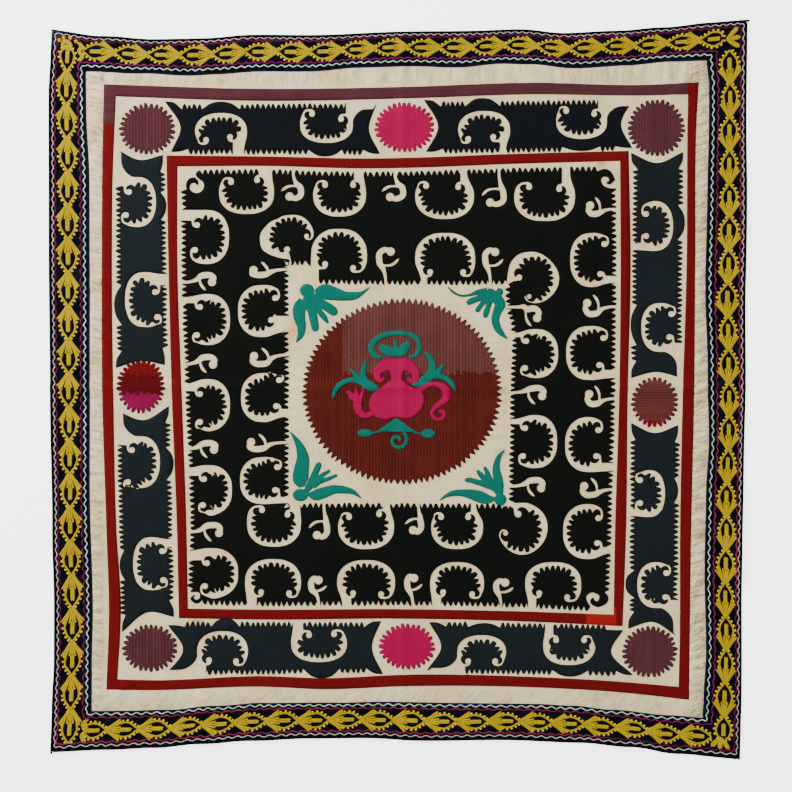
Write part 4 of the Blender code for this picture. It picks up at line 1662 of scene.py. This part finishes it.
# %% Where the slabs and their curls sit
# Each slab: way it runs, roots of the low and the high side, horns at its start and its end, bulges,
# and two curls in the way of the field's tables, with a flare of the stem at the end
SLABS = {
    "top_left": (
        across, (219, 217), (298, 300),
        ((330, 203), (361, 256), (342, 304)), ((752, 210), (738, 258), (760, 308)),
        (404, 480, 207), (616, 684, 310),
        ("down", 298, 390, 494, 226, (466, 488), (412, 280), (460, 274), 0),
        ("up", 218, 600, 706, 286, (692, 706), (624, 228), (682, 238), 40),
    ),
    "top_right": (
        across, (214, 209), (298, 292),
        ((848, 200), (876, 254), (852, 304)), ((1268, 196), (1242, 250), (1264, 296)),
        (930, 1000, 200), (1124, 1200, 300),
        ("down", 296, 916, 1020, 222, (1000, 1012), (936, 278), (986, 274), 0),
        ("up", 212, 1112, 1214, 278, (1196, 1212), (1132, 222), (1188, 228), 52),
    ),
    "bottom_left": (
        across, (1253, 1254), (1340, 1336),
        ((336, 1250), (366, 1298), (328, 1352)), ((762, 1242), (744, 1294), (766, 1348)),
        (422, 480, 1240), (606, 680, 1352),
        ("down", 1340, 394, 496, 1262, (412, 396), (472, 1322), (418, 1320), 62),
        ("up", 1254, 582, 694, 1324, (606, 586), (668, 1268), (618, 1270), 0),
    ),
    "bottom_right": (
        across, (1252, 1260), (1336, 1342),
        ((858, 1244), (882, 1294), (854, 1340)), ((1246, 1260), (1222, 1302), (1266, 1350)),
        (936, 1000, 1248), (1104, 1176, 1350),
        ("down", 1336, 914, 1012, 1270, (930, 916), (990, 1322), (936, 1322), 54),
        ("up", 1258, 1086, 1190, 1330, (1106, 1090), (1168, 1280), (1112, 1280), 0),
    ),
    "left_upper": (
        downwards, (241, 244), (320, 326),
        ((298, 233), (320, 280), (310, 326)), ((736, 232), (722, 282), (730, 330)),
        (570, 650, 232), (384, 440, 330),
        ("left", 242, 354, 454, 312, (372, 354), (430, 252), (384, 258), 52),
        ("right", 322, 544, 654, 250, (570, 548), (634, 314), (584, 310), 0),
    ),
    "left_lower": (
        downwards, (243, 252), (330, 340),
        ((820, 232), (840, 288), (812, 338)), ((1264, 244), (1224, 298), (1234, 348)),
        (1100, 1160, 242), (894, 960, 344),
        ("left", 246, 872, 976, 320, (890, 872), (964, 256), (900, 264), 48),
        ("right", 334, 1074, 1180, 266, (1094, 1078), (1160, 326), (1102, 324), 0),
    ),
    "right_upper": (
        downwards, (1276, 1272), (1357, 1352),
        ((306, 1262), (326, 1314), (304, 1366)), ((756, 1262), (744, 1312), (755, 1360)),
        (610, 690, 1264), (410, 480, 1366),
        ("left", 1275, 402, 502, 1346, (486, 500), (428, 1292), (472, 1292), 0),
        ("right", 1354, 606, 704, 1282, (686, 702), (628, 1342), (674, 1338), 50),
    ),
    "right_lower": (
        downwards, (1271, 1268), (1350, 1344),
        ((846, 1262), (866, 1310), (850, 1356)), ((1257, 1256), (1244, 1306), (1270, 1350)),
        (1140, 1196, 1254), (956, 1006, 1354),
        ("left", 1270, 940, 1034, 1330, (1018, 1032), (960, 1280), (1006, 1280), 0),
        ("right", 1347, 1124, 1216, 1274, (1200, 1216), (1146, 1332), (1194, 1330), 50),
    ),
}
for place_name, (way, low_root, high_root, starts, ends, low_bulge, high_bulge, *curls) in SLABS.items():
    shape = slab(way, low_root, high_root, starts, ends, low_bulge, high_bulge)
    cuts = []
    for row in curls:
        cuts += place_curl(*row)
    yarn = YARN["night"] if place_name in ("top_left", "top_right") else YARN["slate"]
    stitch("vine_" + place_name, [shape], cuts, [yarn], line=DARK_LINE, line_width=1.6 * MM)

# %% [markdown]
# ## Leaves in the corners of the square
#
# Bare cream cloth is left round the disc, and each of its corners holds a teal spray: a knob, two long
# leaves along the sides and a few fingers between them. A leaf is one brush stroke that swells and ends
# in a point, as a leaf drawn with a pen would.

# %% Stitch the four teal sprays
# Each stroke: stops of place right, place down and width. Each knob: place and two radii.
SPRAYS = {
    "upper_left": (
        ((614, 581, 14.5, 13.5),),
        (
            ((616, 588, 20), (621, 600, 34), (626, 612, 32)),
            ((632, 590, 20), (650, 584, 31), (666, 587, 28), (690, 592, 19), (710, 591.5, 15.5),
             (724, 586, 8), (739, 575, 2)),
            ((608, 602, 22), (599, 616, 26), (599, 636, 23), (603, 652, 18), (602, 668, 13.5), (593, 684, 3)),
            ((630, 600, 20), (648, 610, 18), (662, 619, 19), (667, 623, 18)),
            ((626, 610, 16), (640, 624, 12), (650, 637, 11), (655, 645, 5)),
            ((622, 616, 18), (627, 636, 17), (630, 652, 16), (630.5, 656, 15)),
        ),
    ),
    "upper_right": (
        ((999, 584, 7.5, 8),),
        (
            ((972, 586, 22), (980, 590, 26), (990, 594, 22)),
            ((974, 584, 18), (954, 585, 10), (940, 590, 5.4), (920, 591, 4.6), (906, 584, 5),
             (896.6, 575, 3)),
            ((968, 592, 16), (954, 598, 12), (941, 603, 12), (938, 605, 11)),
            ((974, 596, 14), (964, 608, 10), (955, 620, 10)),
            ((980, 600, 14), (976, 614, 10), (972, 626, 12), (970.6, 631, 10)),
            ((990, 592, 20), (1000, 608, 22), (994, 624, 17), (990.6, 640, 16), (995, 656, 15),
             (1004, 668, 10), (1014, 677, 3)),
        ),
    ),
    "lower_left": (
        ((601, 990, 15.6, 12.6),),
        (
            ((604, 974, 12), (601, 958, 31), (603, 938, 30), (606, 918, 25), (601, 896, 18), (592, 879, 10),
             (581, 864, 2.4)),
            ((616, 988, 6), (632, 990, 22), (648, 985, 22), (668, 979, 18), (688, 979.6, 15), (706, 984, 10),
             (722, 995.6, 2.4)),
            ((610, 984, 8), (618, 974, 14), (626, 958, 15), (633, 940, 13), (637.6, 930, 12)),
            ((622, 972, 12), (636, 958, 10), (648, 948, 8.4), (658, 942, 6)),
            ((626, 972, 12), (642, 962, 10), (658, 957, 8), (672, 951, 6)),
        ),
    ),
    "lower_right": (
        ((1000.6, 999, 12.4, 12.4),),
        (
            ((1000, 988, 12), (998, 974, 19), (996, 958, 19), (992.6, 942, 16), (994, 924, 12),
             (1000, 910, 8), (1008, 901, 2.4)),
            ((990, 997, 6), (974, 998, 20), (958, 993, 24), (940, 988, 19), (922, 985.6, 14),
             (904, 987, 11), (890, 993, 6), (880, 1000, 2)),
            ((994, 988, 5), (988, 978, 10), (972, 969, 14), (954, 964, 11), (938, 960, 10), (934, 960, 9)),
            ((984, 974, 12), (970, 958, 12), (960, 948, 10), (956, 943, 7)),
            ((986, 974, 12), (978, 956, 12), (973, 942, 9), (970, 936, 7)),
        ),
    ),
}
TEAL_LINE = line_finish("teal_line", dye(0, 66, 56), dye(4, 92, 80))
for place_name, (knobs, strokes) in SPRAYS.items():
    shapes = [dot(*knob) for knob in knobs] + [brush(stops) for stops in strokes]
    stitch("spray_" + place_name, shapes, (), [YARN["teal"]], grain=6 * MM, line=TEAL_LINE,
           line_width=1.2 * MM)

# %% [markdown]
# ## The ewer on the disc
#
# The heart of the design is a footed ewer, an old sign of welcome, in pink with teal leaves. It stands on
# the disc's stitches, so its patches start at their height and rise as much again. The belly is one soft
# outline, and the spout, the handle and the leaves are brush strokes.

# %% Stitch the ewer's pink parts
BELLY = (
    (782, 760), (768, 771), (752, 781), (741, 795), (738, 812), (744, 828), (758, 837), (776, 838.5),
    (792, 834), (808, 837), (824, 835), (838, 824), (847, 808), (848.5, 794), (842, 782), (830, 776),
    (815, 769), (804, 760),
)
EWER_STROKES = (
    ((793, 716, 40), (793, 728, 42), (793, 746, 26), (793, 762, 22), (793, 780, 34)),
    ((782, 728, 26), (766, 733, 23), (755, 743, 18), (755, 754, 15), (762, 761, 10), (767, 757, 7)),
    ((806, 728, 26), (822, 735, 22), (832, 748, 17), (830, 758, 15), (822, 762, 12), (817, 757, 8)),
    ((746, 826, 12), (730, 831, 12), (719, 824, 16), (715, 810, 17), (715, 799, 14)),
    ((715, 802, 12), (705, 793, 14), (697, 784, 9)),
    ((716, 798, 10), (713, 786, 9), (712, 775, 4)),
    ((718, 803, 12), (724, 789, 8), (727, 776, 6)),
    ((838, 782, 16), (850, 772, 12), (868, 768, 10), (884, 773, 14), (893, 784, 18), (892, 796, 16),
     (880, 807, 12), (869, 816, 10), (863.6, 826, 8), (868, 836, 8), (878, 839.6, 7), (887.6, 833, 8),
     (887, 823.6, 8), (881, 823, 8)),
)
shapes = [soft_line(BELLY, 4.0, closed=True)] + [brush(stops) for stops in EWER_STROKES]
stitch("ewer_pink", shapes, (), [YARN["pink"]], grain=5 * MM, line=PINK_LINE, line_width=1.3 * MM,
       under=RISE)

# %% Stitch its leaves, crest and foot
CREST = (
    (818, 714, 3), (830, 711, 8), (838, 699, 10), (838, 688, 9), (832, 675, 10), (816, 668, 10),
    (796, 666, 10), (776, 668, 10), (758, 675, 11), (745, 686, 12), (742, 699, 12), (748, 710, 10),
    (756, 714, 8), (760, 715, 7),
)
BUD = (
    ((792, 706, 16), (776, 702, 18), (768, 698, 18), (765, 696, 16)),
    ((791, 708, 12), (790.4, 692, 9), (790, 683, 6)),
    ((792, 706, 16), (804, 701, 18), (812, 692, 17), (814, 689, 13)),
)
LEAVES = (
    ((757, 775, 6), (744, 774, 18), (730, 766, 18), (714, 760, 12), (696, 761, 10), (680, 769, 10),
     (670, 781, 9), (666, 794, 5)),
    ((732, 768, 16), (726, 750, 12), (727, 736, 10), (733, 723, 3)),
    ((722, 762, 12), (710, 749, 9), (702, 739, 4)),
    ((824, 768, 5), (838, 768, 12), (850, 759, 18), (864, 753, 13), (880, 752.6, 11), (894, 758, 10),
     (904, 768, 9), (910, 779, 5)),
    ((852, 758, 18), (863, 744, 16), (864, 728, 14), (860, 714, 10), (849, 704, 4)),
    ((868, 752, 12), (880, 739, 9), (886, 730, 5)),
)
FOOT = (
    (792, 835), (802, 842), (818, 854), (834, 864), (800, 864), (770, 863), (752, 863), (766, 854),
    (782, 843),
)
FOOT_STROKES = (
    ((762, 862.6, 3.4), (744, 866, 3.4)),
    ((826, 864, 3.4), (842, 868, 3.4)),
    ((806, 864, 8), (812, 872, 7), (813, 882, 7), (808, 891, 7), (798, 895, 7), (788, 891, 7),
     (784, 882, 7), (788, 875, 7), (796, 874, 6.6), (800, 880, 6.6)),
)
DROPS = ((730, 866, 15, 8), (856, 867, 14, 9))
shapes = [brush(CREST), dot(790, 705, 24, 8.4), list(FOOT)]
shapes += [brush(stops) for stops in (*BUD, *LEAVES, *FOOT_STROKES)]
shapes += [dot(*drop) for drop in DROPS]
stitch("ewer_teal", shapes, (), [YARN["teal"]], grain=5 * MM, line=TEAL_LINE, line_width=1.2 * MM,
       under=RISE, rise=RISE + 0.15 * MM)

# %% [markdown]
# ## Chain stitch on the border
#
# The border's design is drawn with a hook in rows of chain stitch. A row looks like a small rope with a
# waist every few millimetres, so it is built as one: a ridge of three or five points across that swells
# and narrows along its way. It is laid on the cut cloth, and so follows every bow of the edge.

# %% A row of chain stitch
ROPE_STEP = 1.6 * MM
THIN_ROPE = ((-0.5, -0.10), (0.0, 1.0), (0.5, -0.10))
FULL_ROPE = ((-0.5, -0.15), (-0.26, 0.80), (0.0, 1.0), (0.26, 0.80), (0.5, -0.15))
WAIST_WIDTH = 0.78
WAIST_HEIGHT = 0.55


def rope(pile, line, width, height, profile=THIN_ROPE, closed=False):
    """Adds a row of chain stitch along a line of points on the cut cloth."""
    verts, faces = pile
    base, count, around = len(verts), len(line), len(profile)
    for i, (a, b) in enumerate(line):
        if closed:
            p, q = line[i - 1], line[(i + 1) % count]
        else:
            p, q = line[max(i - 1, 0)], line[min(i + 1, count - 1)]
        length = math.dist(p, q) or 1e-9
        na, nb = -(q[1] - p[1]) / length, (q[0] - p[0]) / length
        wide = width * (WAIST_WIDTH if i % 2 else 1.0)
        high = height * (WAIST_HEIGHT if i % 2 else 1.0)
        for side, up in profile:
            verts.append(on_strip(a + na * side * wide, b + nb * side * wide, up * high))
    for i in range(count if closed else count - 1):
        k, m = base + around * i, base + around * ((i + 1) % count)
        for j in range(around - 1):
            faces.append((k + j + 1, k + j, m + j, m + j + 1))


def even_points(line, step):
    """The same line with its points evenly spaced."""
    at, total = run_along(line)
    count = max(2, round(total / step))
    return [at(total * i / count)[0] for i in range(count + 1)]


print("a row of", len(even_points([(0, 0), (0.02, 0)], ROPE_STEP)), "stitches in 20 mm")

# %% Walk round the cloth
CLOCKWISE = ("top", "right", "bottom", "left")


def on_side(side, u, d):
    """The place on the cut cloth u along a side, clockwise, and d in from its outer edge."""
    return {
        "top": (u - HALF_W, HALF_H - d),
        "right": (HALF_W - d, HALF_H - u),
        "bottom": (HALF_W - u, d - HALF_H),
        "left": (d - HALF_W, u - HALF_H),
    }[side]


def side_length(side):
    return CLOTH_WIDTH if side in ("top", "bottom") else CLOTH_HEIGHT


print("once round the cut cloth:", round(sum(side_length(side) for side in CLOCKWISE), 2), "m")


# %% Work the wavy lines
# Millimetres in from the outer edge on the four sides, wave height and width of the row
WAVY = {
    "pale": ((6.9, 6.8, 9.4, 7.6), 1.7, 2.2),
    "outer_wine": ((12.3, 11.8, 15.6, 11.8), 1.5, 2.7),
    "inner_wine": ((56.8, 56.6, 62.6, 59.0), 1.7, 2.8),
    "mint": ((63.8, 66.4, 69.4, 65.8), 1.9, 2.3),
}
WAVE_LENGTH = {"top": 16.0, "right": 18.0, "bottom": 20.5, "left": 17.5}
WAVY_BEND = 5.0
ROPE_HEIGHT = 0.75 * MM


def wavy_ring(depths, wave):
    """A wavy line round the whole cloth, at its own depth on each side."""
    line, travelled = [], rng.uniform(0, 1)
    for k, side in enumerate(CLOCKWISE):
        before, after = depths[k - 1], depths[(k + 1) % 4]
        long_way = side_length(side) / MM - before - after
        count = round(long_way / (ROPE_STEP / MM))
        for i in range(count):
            run = long_way * i / count
            near = min(run, long_way - run)
            uneven = 1 + 0.25 * noise.noise((run / 40, k * 7.0, wave))
            travelled += ROPE_STEP / MM / WAVE_LENGTH[side] * uneven
            rise = wave * math.sin(2 * math.pi * travelled) * min(1.0, near / 10)
            turn = WAVY_BEND * (1 - min(1.0, near / WAVY_BEND)) ** 2 / 2
            line.append(on_side(side, (before + run) * MM, (depths[k] + rise + turn) * MM))
    return line


PALE_LINE = line_finish("pale_line", dye(186, 134, 136), dye(146, 176, 154), 46 * MM)
MINT_LINE = line_finish("mint_line", dye(124, 172, 138), dye(172, 198, 174), 20 * MM)
WINE_LINE = line_finish("wine_line", dye(72, 4, 32), dye(100, 10, 60), 40 * MM)
MAGENTA_LINE = line_finish("magenta_line", dye(96, 2, 66), dye(124, 14, 84), 30 * MM)
ROSE_LINE = line_finish("rose_line", dye(96, 12, 44), dye(132, 36, 70), 30 * MM)
WAVY_FINISHES = {
    "pale": (PALE_LINE, PALE_LINE), "outer_wine": (WINE_LINE, ROSE_LINE),
    "inner_wine": (MAGENTA_LINE, ROSE_LINE), "mint": (MINT_LINE, MINT_LINE),
}


def later_thread(centre):
    """Most of the right and lower sides was worked with a pinker thread."""
    on_right = centre[0] > 0.62 and -0.42 < centre[1] < 0.62
    below = centre[1] < -0.62 and centre[0] < 0.40
    return 1 if on_right or below else 0


for row_name, (depths, wave, width) in WAVY.items():
    pile = ([], [])
    rope(pile, wavy_ring(depths, wave), width * MM, ROPE_HEIGHT, THIN_ROPE, closed=True)
    put_on_shelf("wavy_" + row_name, *pile, WAVY_FINISHES[row_name], "border_cotton", later_thread)

# %% Overcast the seam
# A dark violet thread covers the fold of the strips, thicker at the sides than above and below
SEAM_THREAD = {"top": 2.2, "right": 2.8, "bottom": 2.0, "left": 2.4}
VIOLET_LINE = line_finish("violet_line", dye(14, 2, 32), dye(26, 8, 52))
pile = ([], [])
for side in CLOCKWISE:
    width = SEAM_THREAD[side] * MM
    low, high = STRIP_WIDTH, side_length(side) - STRIP_WIDTH
    ends = [on_side(side, u, STRIP_WIDTH - 0.8 * MM - width / 2) for u in (low, high)]
    rope(pile, even_points(ends, 2.4 * MM), width, 0.5 * MM, FULL_ROPE)
put_on_shelf("seam_thread", *pile, [VIOLET_LINE], "border_cotton")

# %% [markdown]
# ## The yellow leaf chain
#
# Between the wavy lines runs a chain of yellow leaves, tip to tail and clockwise round the cloth. Each has
# a loop with a row of knots on its outer sides, a bar inside the loop and a fan of rows that meet in a
# point. One leaf is written down once, in millimetres along and across. Each copy gets slightly other
# sizes, because hand work never repeats.

# %% One yellow leaf
LEAF_LENGTH = 65.0
LOOP = ((0, 0.8), (6, 4.6), (12, 9.0), (18, 12.2), (25, 14.0), (31, 13.8), (36, 12.0))
LOOP_END = ((41, 8.5), (44, 3.0))
FAN = ((39, 20.6), (36.6, 17.0), (35.4, 13.2), (37, 5.4))
FAN_ROW = 4.6
LOOP_ROW = 4.4
KNOT = 2.6
KNOT_GAP = 8.2
YELLOW_HEIGHT = 1.0 * MM


def knot(pile, a, b, size, height):
    """A small round knot."""
    verts, faces = pile
    base = len(verts)
    for radius, up in ((1.0, -0.1), (0.62, 0.8)):
        for i in range(6):
            angle = math.pi / 3 * i
            verts.append(on_strip(a + math.cos(angle) * size * radius, b + math.sin(angle) * size * radius,
                                  up * height))
    verts.append(on_strip(a, b, height))
    for i in range(6):
        j = (i + 1) % 6
        faces.append((base + i, base + j, base + 6 + j, base + 6 + i))
        faces.append((base + 6 + i, base + 6 + j, base + 12))


def leaf(rows, knots, side, start, length, depth, with_fan=True):
    """One leaf of the chain: its loop, knots and bar, and the fan in front."""
    k = length / LEAF_LENGTH
    wide = rng.uniform(0.93, 1.07)
    sway = rng.uniform(-1.2, 1.2)

    def put(u, v):
        drift = sway * math.sin(math.pi * min(max(u / LEAF_LENGTH, 0), 1))
        return on_side(side, (start + u * k) * MM, (depth - v * wide - drift) * MM)

    loop = LOOP if with_fan else LOOP + LOOP_END
    for hand in (1, -1):
        stops = [(u + rng.uniform(-0.6, 0.6), v * hand + rng.uniform(-0.5, 0.5)) for u, v in loop]
        line = soft_line(stops, 1.0)
        row = even_points([put(*spot) for spot in line], ROPE_STEP)
        rope(rows, row, LOOP_ROW * MM, YELLOW_HEIGHT, FULL_ROPE)
        at, total = run_along(line)
        first = rng.uniform(3, 6)
        for i in range(round((total - first) / KNOT_GAP) + 1):
            (u, v), normal = at(first + i * KNOT_GAP)
            out = hand * (LOOP_ROW / 2 + KNOT * 0.55)
            spot = put(u - normal[0] * out, v - normal[1] * out)
            knot(knots, *spot, KNOT * MM * rng.uniform(0.9, 1.12), YELLOW_HEIGHT * 1.1)
    bar = [(15, 0.4), (16.5, 1.7), (38, 1.9)]
    for hand in (1, -1):
        line = [put(u, v * hand) for u, v in bar]
        rope(rows, even_points(line, ROPE_STEP), 5.2 * MM, YELLOW_HEIGHT * 1.1, FULL_ROPE)
    if not with_fan:
        return
    for u, v in FAN:
        for hand in (1, -1):
            jitter = rng.uniform(-1, 1)
            stops = [(u + jitter, v * hand), (58, v * hand * 0.33), (LEAF_LENGTH, v * hand * 0.14)]
            line = soft_line(stops, 1.6)
            rope(rows, [put(*spot) for spot in line], FAN_ROW * MM, YELLOW_HEIGHT * 1.25, FULL_ROPE)
    middle = [put(u, 0) for u in range(38, 57, 3)]
    rope(rows, middle, FAN_ROW * MM, YELLOW_HEIGHT * 1.2, FULL_ROPE)


print("a leaf has", 2 * len(FAN) + 1, "rows in its fan")

# %% Work the chain round the cloth
# For each side: where its first leaf starts, where its last one ends, how many, and the depth
CHAIN = {
    "top": (65, 1299, 19, 34.0),
    "right": (58, 1378, 20, 33.2),
    "bottom": (58, 1281, 19, 38.4),
    "left": (16, 1381, 20, 35.6),
}
YELLOW = yarn_finish("yellow_yarn", dye(132, 108, 0), dye(182, 154, 0), 3 * MM, 3 * MM, 1.0, 0.4,
                     cloud=14 * MM)
YELLOW_KNOTS = yarn_finish("yellow_knots", dye(176, 146, 4), dye(206, 178, 20), 3 * MM, 3 * MM, 1.0, 0.2,
                           cloud=10 * MM)
# How each corner ends: a fan of three lobes, or a wavy double row. Places along and depths.
LOBES = {
    "top": ((1350, 36), ((1371, 14), (1376, 33), (1375, 52))),
    "right": ((1420, 39), ((1439, 58), (1443, 41), (1441, 23))),
}
DOUBLE_ROWS = {
    "top": ((55, 18), (62, 26), (58, 36), (65, 46), (58, 56)),
    "bottom": ((1322, 60), (1329, 50), (1321, 40), (1329, 29), (1323, 17)),
}
COIL = ("left", 1432, 31)
COIL_KNOTS = ((1440, 17), (1446, 25), (1448, 38), (1443, 50))


def lobes(rows, side, root, tips):
    """A fan of lobes of three rows each, from one root to their tips."""
    for tip in tips:
        dx, dy = tip[0] - root[0], tip[1] - root[1]
        length = math.hypot(dx, dy)
        nx, ny = -dy / length, dx / length
        for out in (-2.4, 0.0, 2.4):
            end = (tip[0] + nx * out - dx / length * abs(out), tip[1] + ny * out - dy / length * abs(out))
            stops = [root, (root[0] + dx * 0.5 + nx * out, root[1] + dy * 0.5 + ny * out), end]
            line = [on_side(side, u * MM, d * MM) for u, d in soft_line(stops, 1.6)]
            rope(rows, line, 4.8 * MM, YELLOW_HEIGHT * 1.2, FULL_ROPE)


def coil(rows, side, u, d):
    """The coiled row in the upper left corner."""
    line = []
    for i in range(60):
        angle, radius = i * 0.26, 2.0 + 9.5 * i / 60
        line.append(on_side(side, (u + radius * math.cos(angle)) * MM, (d + radius * math.sin(angle)) * MM))
    rope(rows, line, 5.2 * MM, YELLOW_HEIGHT * 1.2, FULL_ROPE)


for side in CLOCKWISE:
    rows, knots = ([], []), ([], [])
    first, last, count, depth = CHAIN[side]
    length = (last - first) / count
    for i in range(count):
        leaf(rows, knots, side, first + i * length, length, depth)
    leaf(rows, knots, side, last, length, depth, with_fan=False)
    if side in LOBES:
        lobes(rows, side, *LOBES[side])
    if side in DOUBLE_ROWS:
        for shift in (-2.2, 2.2):
            line = [on_side(side, (u + shift) * MM, d * MM) for u, d in soft_line(DOUBLE_ROWS[side], 1.6)]
            rope(rows, line, 5.0 * MM, YELLOW_HEIGHT * 1.2, FULL_ROPE)
    if side == COIL[0]:
        coil(rows, *COIL)
        for u, d in COIL_KNOTS:
            knot(rows, *on_side(side, u * MM, d * MM), 4.4 * MM, YELLOW_HEIGHT * 1.3)
    shift = len(rows[0])
    verts = rows[0] + knots[0]
    faces = rows[1] + [tuple(i + shift for i in corners) for corners in knots[1]]
    piece = put_on_shelf("leaf_chain_" + side, verts, faces, [YELLOW, YELLOW_KNOTS], "border_cotton")
    for polygon in list(piece.data.polygons)[len(rows[1]):]:
        polygon.material_index = 1
